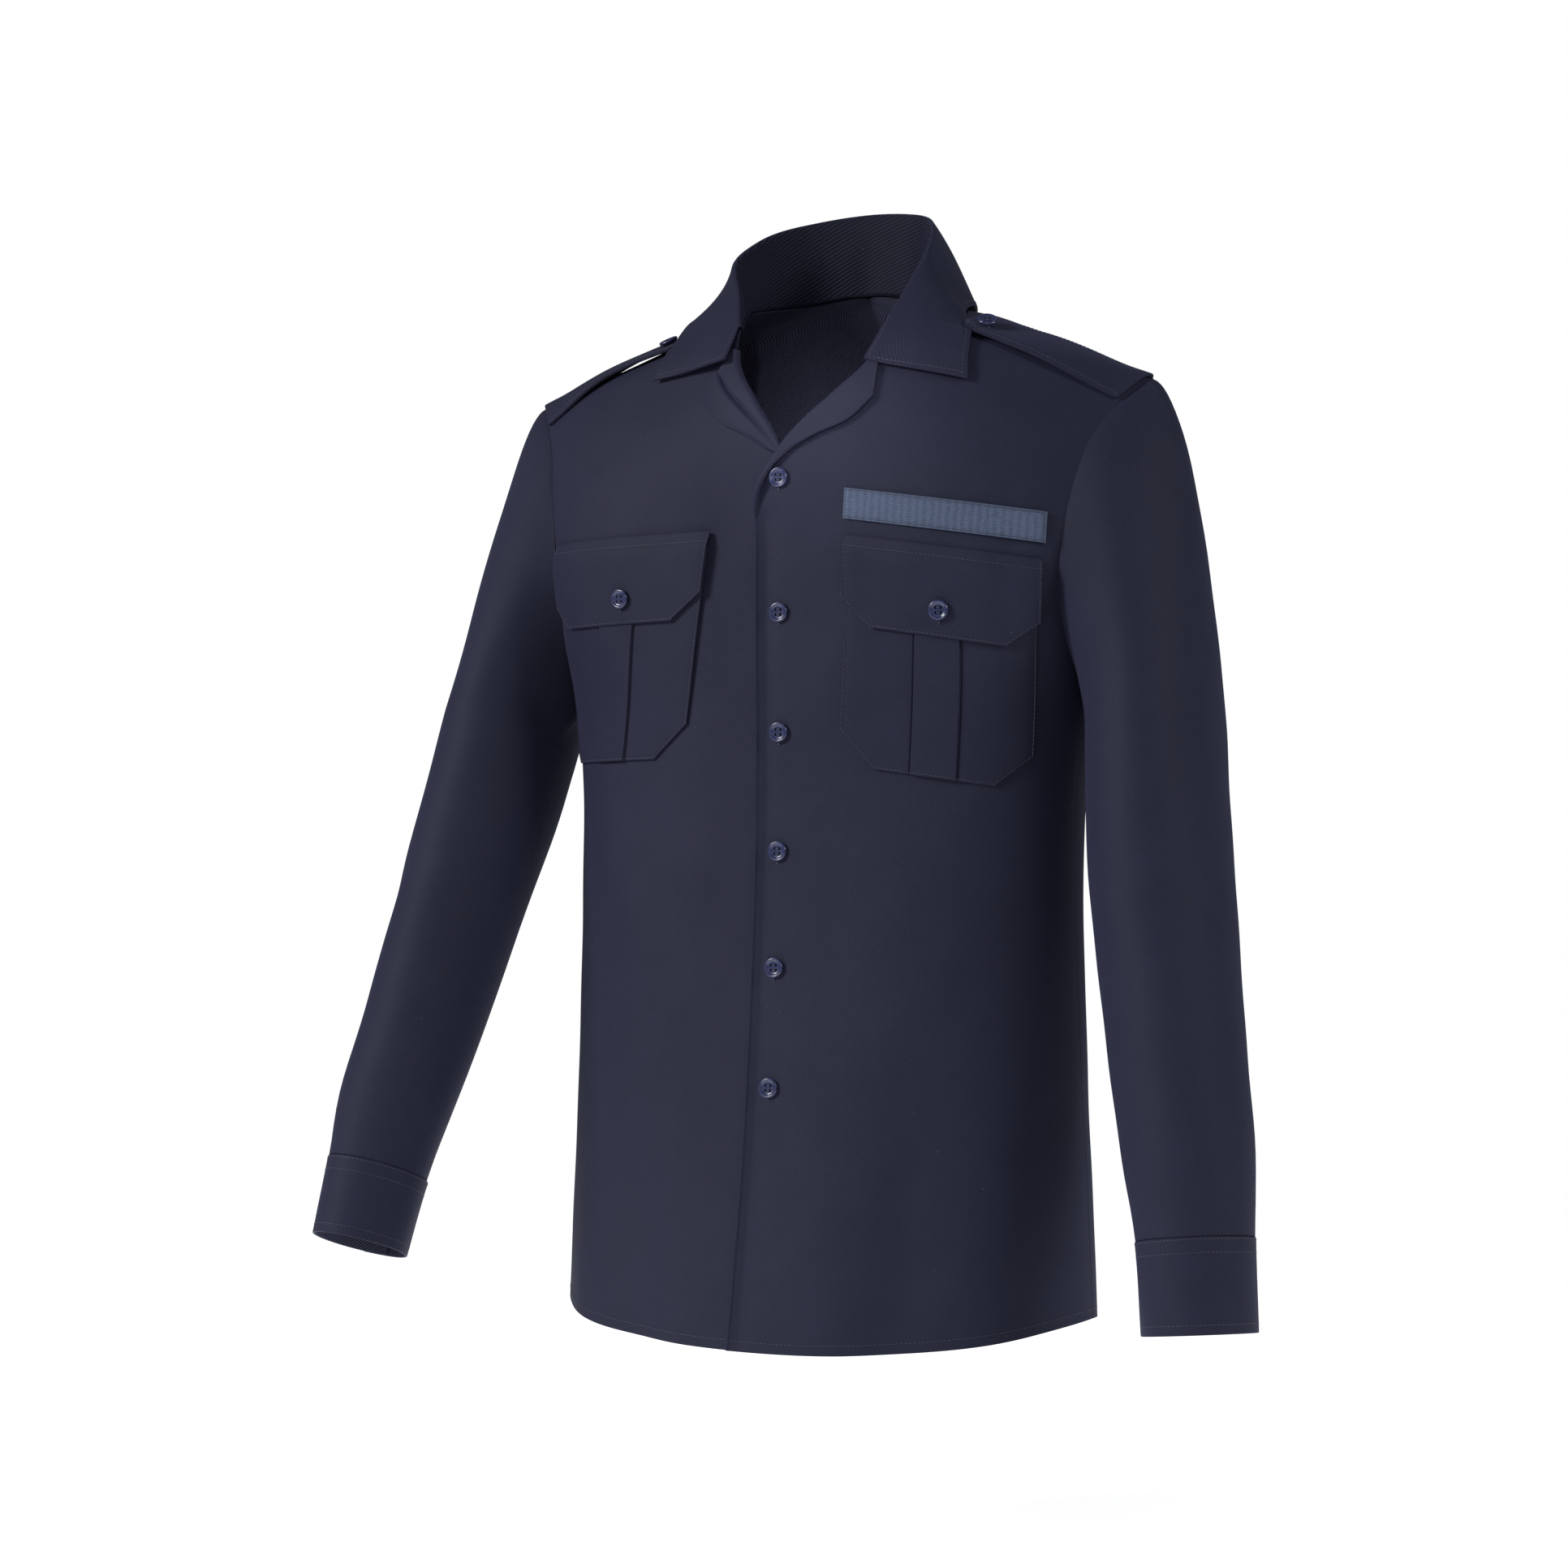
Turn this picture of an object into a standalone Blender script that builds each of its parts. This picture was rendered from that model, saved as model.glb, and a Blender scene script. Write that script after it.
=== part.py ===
"""A navy long-sleeved uniform shirt, worn open at the neck and filled out with no wearer.

Metres, +Z up. The shirt faces -Y and the wearer's left is +X. The origin is the middle of the neck at
the height of the side-neck points, where the wearer's shoulders hold the shirt up.
"""

import math
from collections import namedtuple

import bmesh
import bpy
import numpy as np
from mathutils import Vector
from mathutils.bvhtree import BVHTree

# Cloth
CLOTH = 0.0015
CUFF_CLOTH = 0.0020
SEAM = 0.0004
MERGE = 1e-6
REST = 0.0009
FRONT_EDGE = 0.0176
UNDERLAP = CLOTH + 0.0006

# Body: one row for each level, named by the height of its outer end (side seam or armhole)
BodyRow = namedtuple(
    "BodyRow",
    "level half_width front_side_y back_side_y front_z front_y front_turn front_inner_x "
    "back_z back_y back_turn back_inner_x rise fullness",
)
BODY = (
    BodyRow(-0.684, 0.190, -0.010, -0.010, -0.702, -0.130, 90, -FRONT_EDGE, -0.712, 0.080, 90, 0, 2.6, 2.0),
    BodyRow(-0.600, 0.187, -0.013, -0.013, -0.606, -0.112, 90, -FRONT_EDGE, -0.610, 0.078, 90, 0, 2.0, 2.05),
    BodyRow(-0.500, 0.183, -0.016, -0.016, -0.502, -0.098, 90, -FRONT_EDGE, -0.502, 0.076, 90, 0, 2.0, 2.15),
    BodyRow(-0.420, 0.181, -0.018, -0.018, -0.420, -0.091, 90, -FRONT_EDGE, -0.420, 0.079, 90, 0, 2.0, 2.2),
    BodyRow(-0.340, 0.181, -0.016, -0.016, -0.340, -0.087, 90, -FRONT_EDGE, -0.340, 0.090, 90, 0, 2.0, 2.25),
    BodyRow(-0.285, 0.187, -0.010, -0.010, -0.283, -0.087, 90, -FRONT_EDGE, -0.283, 0.100, 90, 0, 1.6, 2.3),
    BodyRow(-0.240, 0.184, -0.044, 0.048, -0.232, -0.087, 78, -FRONT_EDGE, -0.230, 0.107, 76, 0, 1.4, 2.7),
    BodyRow(-0.200, 0.184, -0.056, 0.062, -0.182, -0.087, 72, -FRONT_EDGE, -0.178, 0.109, 70, 0, 1.2, 2.9),
    BodyRow(-0.170, 0.188, -0.056, 0.064, -0.146, -0.087, 66, -0.0155, -0.136, 0.107, 64, 0, 1.1, 2.7),
    BodyRow(-0.140, 0.193, -0.050, 0.060, -0.112, -0.086, 58, 0.004, -0.092, 0.102, 58, 0, 1.0, 2.4),
    BodyRow(-0.112, 0.200, -0.039, 0.050, -0.078, -0.080, 52, 0.031, -0.052, 0.091, 52, 0, 1.0, 2.15),
    BodyRow(-0.090, 0.212, -0.023, 0.032, -0.046, -0.069, 46, 0.052, -0.019, 0.070, 46, 0, 1.0, 2.0),
    BodyRow(-0.0795, 0.2205, -0.011, 0.016, -0.0165, -0.056, 44, 0.056, 0.000, 0.053, 44, 0, 1.0, 2.0),
    BodyRow(-0.0731, 0.2265, -0.004, 0.006, -0.0030, -0.028, 42, 0.0625, 0.0096, 0.038, 42, 0.040, 1.0, 2.0),
    BodyRow(-0.0725, 0.2280, -0.0003, 0.0003, 0.0121, -0.0015, 40, 0.065, 0.0121, 0.0025, 40, 0.065, 1.0, 2.0),
)
ARMPIT_ROW = 5
BREAK_ROW = 7
GORGE_ROW = 12
SHOULDER_DROOP = 0.0008
DROOP_FROM = 0.06
DROOP_TO = 0.20
NECK_SHIFT = 0.010
NECK_SHIFT_FULL = 0.080
NECK_SHIFT_END = 0.170

# Largest folds of the body, as soft troughs (negative) or ridges: places across (0 centre front, 1 side)
# and heights of their two ends, half width and depth
Fold = namedtuple("Fold", "panel across_1 z_1 across_2 z_2 half_width depth")
FOLDS = (
    Fold("front_left", 0.60, -0.700, 0.66, -0.380, 0.050, 0.0050),
    Fold("front_left", 0.36, -0.700, 0.38, -0.420, 0.036, -0.0035),
    Fold("front_right", 0.55, -0.700, 0.62, -0.400, 0.050, 0.0045),
    Fold("front_right", 0.34, -0.700, 0.38, -0.480, 0.034, -0.0030),
    Fold("back", 0.45, -0.700, 0.55, -0.330, 0.050, 0.0050),
    Fold("back", -0.50, -0.700, -0.40, -0.360, 0.050, 0.0050),
    Fold("back", 0.00, -0.690, 0.05, -0.450, 0.045, -0.0040),
)

# Sleeves: one row for each ring below the shoulder, down to the cuff's lower edge
SleeveRow = namedtuple("SleeveRow", "x y z half_across half_deep")
SLEEVES = {
    1: (
        SleeveRow(0.2400, -0.026, -0.310, 0.0420, 0.0680),
        SleeveRow(0.2500, -0.048, -0.370, 0.0440, 0.0630),
        SleeveRow(0.2625, -0.068, -0.440, 0.0435, 0.0570),
        SleeveRow(0.2765, -0.087, -0.510, 0.0420, 0.0520),
        SleeveRow(0.2895, -0.103, -0.570, 0.0395, 0.0470),
        SleeveRow(0.2960, -0.111, -0.614, 0.0357, 0.0427),
        SleeveRow(0.3015, -0.118, -0.671, 0.0345, 0.0415),
    ),
    -1: (
        SleeveRow(0.2360, -0.034, -0.305, 0.0395, 0.0650),
        SleeveRow(0.2400, -0.058, -0.360, 0.0400, 0.0590),
        SleeveRow(0.2465, -0.088, -0.425, 0.0385, 0.0525),
        SleeveRow(0.2530, -0.119, -0.495, 0.0365, 0.0475),
        SleeveRow(0.2590, -0.146, -0.552, 0.0350, 0.0435),
        SleeveRow(0.2630, -0.161, -0.593, 0.0313, 0.0383),
        SleeveRow(0.2665, -0.178, -0.642, 0.0290, 0.0360),
    ),
}
CAP_STEPS = (0, 0.035, 0.12, 0.26, 0.42, 0.58, 0.74, 0.88)
SLEEVE_GAP = 0.0008
CAP_PULL = 0.36
CAP_SET = 0.85
CAP_TOP = (0.90, 0.0, -0.43)
CAP_FRONT = (0.92, -0.30, -0.25)
CAP_UNDER = (0.55, 0.0, -0.84)
CAP_BACK = (0.92, 0.30, -0.25)
CUFF_LAP = math.radians(32)
CUFF_LAP_AT = math.radians(272)

# Collar: one row for each station from the middle of the back to the front end, seam, fold and outer edge
CollarRow = namedtuple("CollarRow", "fold middle edge")
COLLAR = (
    CollarRow((0.0000, 0.058, 0.0585), (0.000, 0.075, 0.030), (0.000, 0.086, -0.016)),
    CollarRow((0.0340, 0.051, 0.0550), (0.050, 0.064, 0.026), (0.060, 0.073, -0.016)),
    CollarRow((0.0620, 0.014, 0.0390), (0.077, 0.018, 0.014), (0.092, 0.024, -0.012)),
    CollarRow((0.0700, -0.010, 0.0215), (0.081, -0.012, 0.002), (0.099, -0.010, -0.019)),
    CollarRow((0.0620, -0.033, -0.0050), (0.082, -0.036, -0.018), (0.108, -0.034, -0.036)),
    CollarRow((0.0575, -0.047, -0.0190), (0.079, -0.056, -0.038), (0.112, -0.050, -0.057)),
    CollarRow((0.0535, -0.058, -0.0300), (0.051, -0.0765, -0.0540), (0.115, -0.056, -0.069)),
)
COLLAR_CORNER_FROM = 0.78
COLLAR_SWAY = 0.0045
COLLAR_TURN = 0.0022
COLLAR_CLEAR = 0.0033

# Lapels: heights and places of the outer edge from the upper end to the break
LapelEdge = namedtuple("LapelEdge", "x z")
LAPEL = (
    LapelEdge(0.0640, -0.0850),
    LapelEdge(0.0500, -0.0985),
    LapelEdge(0.0240, -0.1095),
    LapelEdge(0.0003, -0.1232),
    LapelEdge(-0.0130, -0.1385),
    LapelEdge(-0.0168, -0.1500),
)
LAPEL_ROLL = 0.0026
LAPEL_ROLL_LEAST = 0.0014
LAPEL_GAP = 0.0007
LAPEL_BELOW_COLLAR = 0.021
LAPEL_ABOVE_BREAK = 0.005
RIGHT_LAPEL_RAISE = 0.0065
RIGHT_LAPEL_ROWS = 5

# Pockets, flaps and name strip: inner upper corner, width along the cloth, height, tilt
POCKET_X = {1: 0.0500, -1: 0.0525}
POCKET_WIDTH = {1: 0.127, -1: 0.132}
POCKET_REST = 0.0016
POCKET_HEIGHT = 0.140
POCKET_CORNER = 0.024
PLEAT_WIDTH = 0.029
PLEAT_RISE = 0.0013
FLAP_TOP = {1: -0.1745, -1: -0.1690}
FLAP_TILT = {1: math.radians(8.0), -1: math.radians(1.5)}
POCKET_LEAN = {1: -0.05, -1: 0.15}
FLAP_HEIGHT = 0.058
FLAP_SIDE = 0.040
FLAP_CORNER = 0.021
FLAP_CLEAR = 0.0010
FLAP_OVER = 0.002
POCKET_BELOW_FLAP_TOP = 0.010
STRIP_X = 0.0475
STRIP_HEIGHT = 0.0205
STRIP_WIDTH = 0.135
STRIP_ABOVE_FLAP = 0.031
STRIP_CLOTH = 0.0016

# Shoulder straps
STRAP_FROM = 0.25
STRAP_TO = 0.985
STRAP_HALF_INNER = 0.0185
STRAP_HALF_OUTER = 0.0245
STRAP_FORWARD_INNER = 0.018
STRAP_FORWARD_OUTER = 0.007
STRAP_ROUNDING = 0.010
STRAP_LIFT = 0.0030
STRAP_REST = 0.0018
STRAP_END_RAISE = 0.0040
STRAP_END_LEAN = 0.0030
STRAP_END_SHARE = 0.35
STRAP_SLOPE = (0.39, 0.0, 0.92)

# Buttons
BUTTON_RADIUS = 0.0067
BUTTON_THICK = 0.0026
SMALL_BUTTON_RADIUS = 0.0055
SHANK = 0.0005
FRONT_BUTTON_Z = (-0.1352, -0.2235, -0.3020, -0.3800, -0.4560, -0.5340)

NAVY = (0.021, 0.024, 0.050)
BUTTON_NAVY = (0.015, 0.017, 0.050)
STRIP_BLUE = (0.060, 0.085, 0.135)

LOWER_STEPS = 11
CHEST_STEPS = 3
LAPEL_STEPS = 7
SHOULDER_STEPS = 3
UPPER_STEPS = CHEST_STEPS + LAPEL_STEPS + SHOULDER_STEPS
FRONT_COLUMNS = 10
BACK_COLUMNS = 8
LAST_COLUMN = 0.97


def hermite(keys, values, at):
    """Smooth curve through a row of points, one for each key, read at other keys."""
    keys = np.asarray(keys, float)
    values = np.asarray(values, float)
    at = np.clip(np.asarray(at, float), keys[0], keys[-1])
    step = np.diff(keys)[:, None]
    slope = np.diff(values, axis=0) / step
    tangent = np.vstack([slope[:1], (slope[:-1] * step[1:] + slope[1:] * step[:-1]) / (step[1:] + step[:-1]), slope[-1:]])
    index = np.clip(np.searchsorted(keys, at, side="right") - 1, 0, len(keys) - 2)
    width = step[index]
    t = ((at - keys[index]) / step[index, 0])[:, None]
    start, end = values[index], values[index + 1]
    return (
        (2 * t**3 - 3 * t**2 + 1) * start
        + (t**3 - 2 * t**2 + t) * width * tangent[index]
        + (3 * t**2 - 2 * t**3) * end
        + (t**3 - t**2) * width * tangent[index + 1]
    )


def read_rows(keys, rows, at):
    """Smooth curves through rows of points, one curve for each place across, read at other keys."""
    return np.stack([hermite(keys, rows[:, i], at) for i in range(rows.shape[1])], axis=1)


def smoothstep(low, high, value):
    """0 below low, 1 above high, and a soft turn between them."""
    t = np.clip((np.asarray(value, float) - low) / (high - low), 0, 1)
    return t * t * (3 - 2 * t)


def unit(vectors):
    """Vectors of length 1."""
    vectors = np.asarray(vectors, float)
    return vectors / np.maximum(np.linalg.norm(vectors, axis=-1, keepdims=True), 1e-12)


def worn(points):
    """The shirt as it hangs: the left shoulder a little lower, the open neck a little to the left."""
    points = np.array(points, float)
    x, y, z = np.moveaxis(points.copy(), -1, 0)
    side = smoothstep(DROOP_FROM, DROOP_TO, np.abs(x)) * np.sign(x)
    points[..., 2] -= SHOULDER_DROOP * side * smoothstep(-0.40, -0.10, z)
    near_neck = smoothstep(0.0, 0.060, -y) * (1 - smoothstep(NECK_SHIFT_FULL, NECK_SHIFT_END, np.abs(x)))
    points[..., 0] += NECK_SHIFT * near_neck * smoothstep(-0.125, -0.06, z)
    return points


def body_row(row, face, across):
    """Points of one body row on one half, from the centre line (or neckline) at 0 to the side at 1."""
    front = face == "front"
    inner = row.front_inner_x if front else row.back_inner_x
    side_y = row.front_side_y if front else row.back_side_y
    mid_y = row.front_y if front else row.back_y
    mid_z = row.front_z if front else row.back_z
    turn = math.radians(row.front_turn if front else row.back_turn)
    power = 2 / row.fullness
    full = math.sin(turn) ** power
    start = math.copysign(math.asin(min(abs(inner) / row.half_width * full, 1) ** (1 / power)), inner)
    angle = start + (turn - start) * np.asarray(across, float)
    share = np.sign(angle) * np.abs(np.sin(angle)) ** power / full
    x = row.half_width * share
    end = abs(math.cos(turn)) ** power if turn < math.pi / 2 - 1e-6 else 0.0
    y = side_y + (mid_y - side_y) * (np.abs(np.cos(angle)) ** power - end) / (1 - end)
    z = row.level + (mid_z - row.level) * (1 - np.abs(share) ** row.rise)
    return np.stack([x, y, z], axis=-1)


class Half:
    """One half of the front or the back: its outer surface, read by (across, along) from 0 to 1."""

    def __init__(self, face, side):
        self.face = face
        self.side = side
        middle = np.array([body_row(row, face, [0.6])[0] for row in BODY])
        steps = np.linalg.norm(np.diff(middle, axis=0), axis=1)
        self.keys = np.concatenate([[0], np.cumsum(steps)]) / steps.sum()
        self.dense_across = np.linspace(0, 1, 61)
        self.dense_along = np.linspace(0, 1, 241)
        self.dense = self.grid(self.dense_across, self.dense_along)

    def grid(self, across, along):
        """Points for every along (first axis) and across (second axis)."""
        rows = np.array([body_row(row, self.face, across) for row in BODY])
        smooth = read_rows(self.keys, rows, along)
        split = self.keys[ARMPIT_ROW]
        lower = read_rows(self.keys[: ARMPIT_ROW + 1], rows[: ARMPIT_ROW + 1], along)
        upper = read_rows(self.keys[ARMPIT_ROW:], rows[ARMPIT_ROW:], along)
        parted = np.where((np.asarray(along) <= split)[:, None, None], lower, upper)
        side = smoothstep(0.6, 1.0, across)[None, :, None]
        points = smooth * (1 - side) + parted * side
        points = self.folded(points, across)
        points[..., 0] *= self.side
        return worn(points)

    def folded(self, points, across):
        """The same points with the half's largest folds pushed in or out."""
        name = "back" if self.face == "back" else ("front_left" if self.side > 0 else "front_right")
        across = np.broadcast_to(np.asarray(across, float), points.shape[:2])
        reach = BODY[3].half_width * math.pi / 2
        outward = unit(points * np.array([1.0, 1.0, 0.0]) * np.array([0.35, 1.0, 0.0]))
        for fold in FOLDS:
            if fold.panel != name:
                continue
            sign = self.side if name == "back" else 1
            share = np.clip((points[..., 2] - fold.z_1) / (fold.z_2 - fold.z_1), 0, 1)
            centre = (fold.across_1 + (fold.across_2 - fold.across_1) * share) * sign
            distance = (across - centre) * reach
            fade = 1 - smoothstep(0.0, 0.9, (points[..., 2] - fold.z_1) / (fold.z_2 - fold.z_1))
            points = points + outward * (fold.depth * fade * np.exp(-((distance / fold.half_width) ** 2) * 2))[..., None]
        return points

    def slice_at(self, z):
        """Points of the surface at one height, from the inner boundary to the side."""
        out = []
        for column in range(self.dense.shape[1]):
            line = self.dense[:, column]
            if line[0, 2] <= z <= line[-1, 2]:
                order = np.maximum.accumulate(line[:, 2])
                out.append([np.interp(z, order, line[:, 0]), np.interp(z, order, line[:, 1]), z])
        return np.array(out)

    def place(self, distance, z, start_x=None):
        """Point and outward normal at a height, and at a distance along the cloth from |x| = start_x."""
        points = self.slice_at(z)
        length = np.concatenate([[0], np.cumsum(np.linalg.norm(np.diff(points, axis=0), axis=1))])
        if start_x is None:
            at = np.interp(distance, points[:, 0] * self.side, length)
        else:
            at = np.interp(start_x, points[:, 0] * self.side, length) + distance
        point = np.array([np.interp(at, length, points[:, i]) for i in range(3)])
        return point

    def normal(self, point):
        """Outward normal of the dense surface nearest to a point."""
        gap = np.linalg.norm(self.dense - point, axis=-1)
        row, column = np.unravel_index(np.argmin(gap), gap.shape)
        row = min(max(row, 1), self.dense.shape[0] - 2)
        column = min(max(column, 1), self.dense.shape[1] - 2)
        along = self.dense[row + 1, column] - self.dense[row - 1, column]
        across = self.dense[row, column + 1] - self.dense[row, column - 1]
        normal = unit(np.cross(across, along))
        outward = np.array([0.0, -1.0 if self.face == "front" else 1.0, 0.4])
        return normal if normal @ outward > 0 else -normal

    def off(self, point, height):
        """A surface point moved out from the cloth."""
        return point + self.normal(point) * height


def material(name, colour, roughness):
    """A plain finish in one colour."""
    made = bpy.data.materials.new(name)
    made.use_nodes = True
    shader = made.node_tree.nodes["Principled BSDF"]
    shader.inputs["Base Color"].default_value = (*colour, 1)
    shader.inputs["Roughness"].default_value = roughness
    shader.inputs["Metallic"].default_value = 0
    return made


def add_object(name, mesh, finish):
    """An object in the shirt's collection."""
    made = bpy.data.objects.new(name, mesh)
    mesh.materials.append(finish)
    mesh.shade_smooth()
    bpy.data.collections["uniform_shirt"].objects.link(made)
    return made


def sheet_mesh(name, grids, closed=False):
    """An open mesh of quads through grids of points, merged where they meet; closed makes a tube."""
    work = bmesh.new()
    for grid in grids:
        rows, columns = grid.shape[:2]
        points = [[work.verts.new(grid[i, j]) for j in range(columns)] for i in range(rows)]
        for i in range(rows - 1):
            for j in range(columns if closed else columns - 1):
                k = (j + 1) % columns
                work.faces.new((points[i][j], points[i][k], points[i + 1][k], points[i + 1][j]))
    bmesh.ops.remove_doubles(work, verts=work.verts, dist=MERGE)
    mesh = bpy.data.meshes.new(name)
    work.normal_update()
    work.to_mesh(mesh)
    work.free()
    return mesh


def wall(name, grid, finish, outward, thickness=CLOTH, offset=-1, closed=False):
    """A cloth wall: one or more open grids, facing the outward vectors, with a thickness."""
    mesh = sheet_mesh(name, grid if isinstance(grid, list) else [grid], closed)
    facing = sum(Vector(outward(polygon.center)).dot(polygon.normal) * polygon.area for polygon in mesh.polygons)
    if facing < 0:
        mesh.flip_normals()
    made = add_object(name, mesh, finish)
    solid = made.modifiers.new("Wall", "SOLIDIFY")
    solid.thickness = thickness
    solid.offset = offset
    solid.use_quality_normals = True
    return made


def along_samples(half):
    """Places of the mesh rows: even to the armpit, the break, the gorge and the shoulder."""
    stops = [0, half.keys[ARMPIT_ROW], half.keys[BREAK_ROW], half.keys[GORGE_ROW], 1]
    counts = (LOWER_STEPS, CHEST_STEPS, LAPEL_STEPS, SHOULDER_STEPS)
    rows = [np.linspace(a, b, n + 1)[:-1] for a, b, n in zip(stops, stops[1:], counts)]
    return np.concatenate([*rows, [1.0]])


def across_samples(columns):
    """Places of the mesh columns, with a narrow last one, so that the walls meet squarely at the seams."""
    return np.concatenate([np.linspace(0, LAST_COLUMN, columns + 1), [1.0]])


def seam_shift(grid, axis, amount):
    """Moves the points of a grid along one axis, for the gap at a seam."""
    grid = np.array(grid)
    grid[..., axis] += amount
    return grid


def under_offset(grid, depth):
    """Moves the centre front inwards, where it lies under the other front."""
    near = 1 - smoothstep(0.030, 0.080, np.abs(grid[..., 0]))
    low = 1 - smoothstep(-0.116, -0.070, grid[..., 2])
    moved = np.array(grid)
    moved[..., 1] += depth * near * low
    return moved


def make_fronts(halves, finish):
    """Left and right fronts; the left laps over the right."""
    for side, name in ((1, "front_left"), (-1, "front_right")):
        half = halves["front", side]
        grid = seam_shift(half.grid(across_samples(FRONT_COLUMNS), along_samples(half)), 1, -SEAM / 2)
        if side < 0:
            grid = under_offset(grid, UNDERLAP)
        wall(name, grid, finish, lambda point: (point[0] * 0.3, -1, 0.2))


def make_back(halves, finish):
    """The back in one piece, from side seam to side seam."""
    across = across_samples(BACK_COLUMNS)
    left = seam_shift(halves["back", 1].grid(across, along_samples(halves["back", 1])), 1, SEAM / 2)
    right = seam_shift(halves["back", -1].grid(across, along_samples(halves["back", -1])), 1, SEAM / 2)
    wall("back", [left, right[:, ::-1]], finish, lambda point: (point[0] * 0.3, 1, 0.2))


def sleeve_ring(row, side, direction, angles):
    """Points of one sleeve ring, from the outer side (angle 0) round by the front."""
    direction = unit(direction)
    outer = unit(np.array([side, 0.0, 0.0]) - direction * (direction @ np.array([side, 0.0, 0.0])))
    front = unit(np.cross(direction, outer)) * -side
    if front[1] > 0:
        front = -front
    centre = np.array([row.x * side, row.y, row.z])
    return centre + np.outer(np.cos(angles), outer) * row.half_across + np.outer(np.sin(angles), front) * row.half_deep


def armhole(halves, side):
    """The armhole's edge from the shoulder down the front to the armpit and up the back."""
    front = halves["front", side]
    back = halves["back", side]
    upper = along_samples(front)[LOWER_STEPS:]
    down = seam_shift(front.grid([1.0], upper)[::-1, 0], 1, -SEAM / 2)
    up = seam_shift(back.grid([1.0], along_samples(back)[LOWER_STEPS:])[:, 0], 1, SEAM / 2)
    down[0] = (down[0] + up[-1]) / 2
    down[-1] = (down[-1] + up[0]) / 2
    return np.concatenate([down, up[1:-1]])


def sleeve_rings(halves, side):
    """All rings of one sleeve, from the armhole to the cuff seam, and the cuff's two rings."""
    edge = armhole(halves, side)
    count = len(edge)
    angles = np.arange(count) * 2 * math.pi / count
    rows = SLEEVES[side]
    centres = np.array([[row.x * side, row.y, row.z] for row in rows])
    directions = np.vstack([centres[1] - centres[0], (centres[2:] - centres[:-2]), centres[-1] - centres[-2]])
    rings = np.array([sleeve_ring(row, side, way, angles) for row, way in zip(rows, directions)])
    weights = np.stack(
        [
            np.maximum(np.cos(angles), 0) ** 2,
            np.maximum(np.sin(angles), 0) ** 2,
            np.maximum(-np.cos(angles), 0) ** 2,
            np.maximum(-np.sin(angles), 0) ** 2,
        ],
        axis=1,
    )
    start = unit(weights @ np.array([CAP_TOP, CAP_FRONT, CAP_UNDER, CAP_BACK])) * np.array([side, 1, 1])
    edge = edge + start * SLEEVE_GAP
    span = np.linalg.norm(rings[0] - edge, axis=1, keepdims=True)
    end = unit(directions[0])
    cap = []
    for t in CAP_STEPS:
        cap.append(
            (2 * t**3 - 3 * t**2 + 1) * edge
            + (t**3 - 2 * t**2 + t) * start * np.maximum(span * CAP_PULL, 0.015)
            + (3 * t**2 - 2 * t**3) * rings[0]
            + (t**3 - t**2) * end * span * CAP_SET
        )
    keys = np.concatenate([[0], np.cumsum(np.linalg.norm(np.diff(centres, axis=0), axis=1))])
    length = keys[-2]
    lower_keys = np.linspace(0, length, 9)
    lower = np.stack([hermite(keys, rings[:, i], lower_keys) for i in range(count)], axis=1)
    cuff_keys = np.linspace(length + SEAM, keys[-1], 4)
    cuff = np.stack([hermite(keys, rings[:, i], cuff_keys) for i in range(count)], axis=1)
    return np.concatenate([np.array(cap), lower]), cuff


def make_sleeves(halves, finish):
    """Both sleeves, each one tube from the armhole to the cuff."""
    for side, name in ((1, "left"), (-1, "right")):
        rings, cuff = sleeve_rings(halves, side)
        axis_low = rings[-1].mean(axis=0)
        axis_high = rings[len(CAP_STEPS)].mean(axis=0)

        def outward(point, low=axis_low, high=axis_high):
            share = min(max((point[2] - low[2]) / (high[2] - low[2]), 0), 1.6)
            axis = low + (high - low) * share
            return (point[0] - axis[0], point[1] - axis[1], 0)

        wall(f"sleeve_{name}", rings, finish, outward, closed=True)
        make_cuff(name, side, cuff, finish)


def make_cuff(name, side, rings, finish):
    """A cuff: a band whose outer end laps over its inner end, with a button on the lap."""
    count = 26
    centre = rings.mean(axis=1)
    angles = np.linspace(CUFF_LAP_AT, CUFF_LAP_AT + 2 * math.pi + CUFF_LAP, count + 1)
    turned = (angles - CUFF_LAP_AT) / (2 * math.pi)
    lift = (CUFF_CLOTH + 0.0007) * smoothstep(0.80, 0.975, turned)
    source = np.linspace(0, 2 * math.pi, rings.shape[1] + 1)
    grid = []
    for ring, middle in zip(rings, centre):
        closed = np.vstack([ring, ring[:1]])
        band = np.array([np.interp(np.mod(angles, 2 * math.pi), source, closed[:, i]) for i in range(3)]).T
        grid.append(band + unit(band - middle) * (lift + 0.0006)[:, None])
    grid = np.array(grid)
    way = centre[-1] - centre[0]

    def outward(point, start=centre[0], way=way):
        share = (Vector(point) - Vector(start)).dot(Vector(way)) / Vector(way).length_squared
        axis = Vector(start) + Vector(way) * share
        return Vector(point) - axis

    wall(f"cuff_{name}", grid, finish, outward, thickness=CUFF_CLOTH)
    place = (grid[1, -3] + grid[2, -3]) / 2
    normal = unit(place - centre[1:3].mean(axis=0))
    normal = unit(normal - unit(way) * (normal @ unit(way)))
    add_button(f"button_cuff_{name}", place, normal, SMALL_BUTTON_RADIUS)


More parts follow.
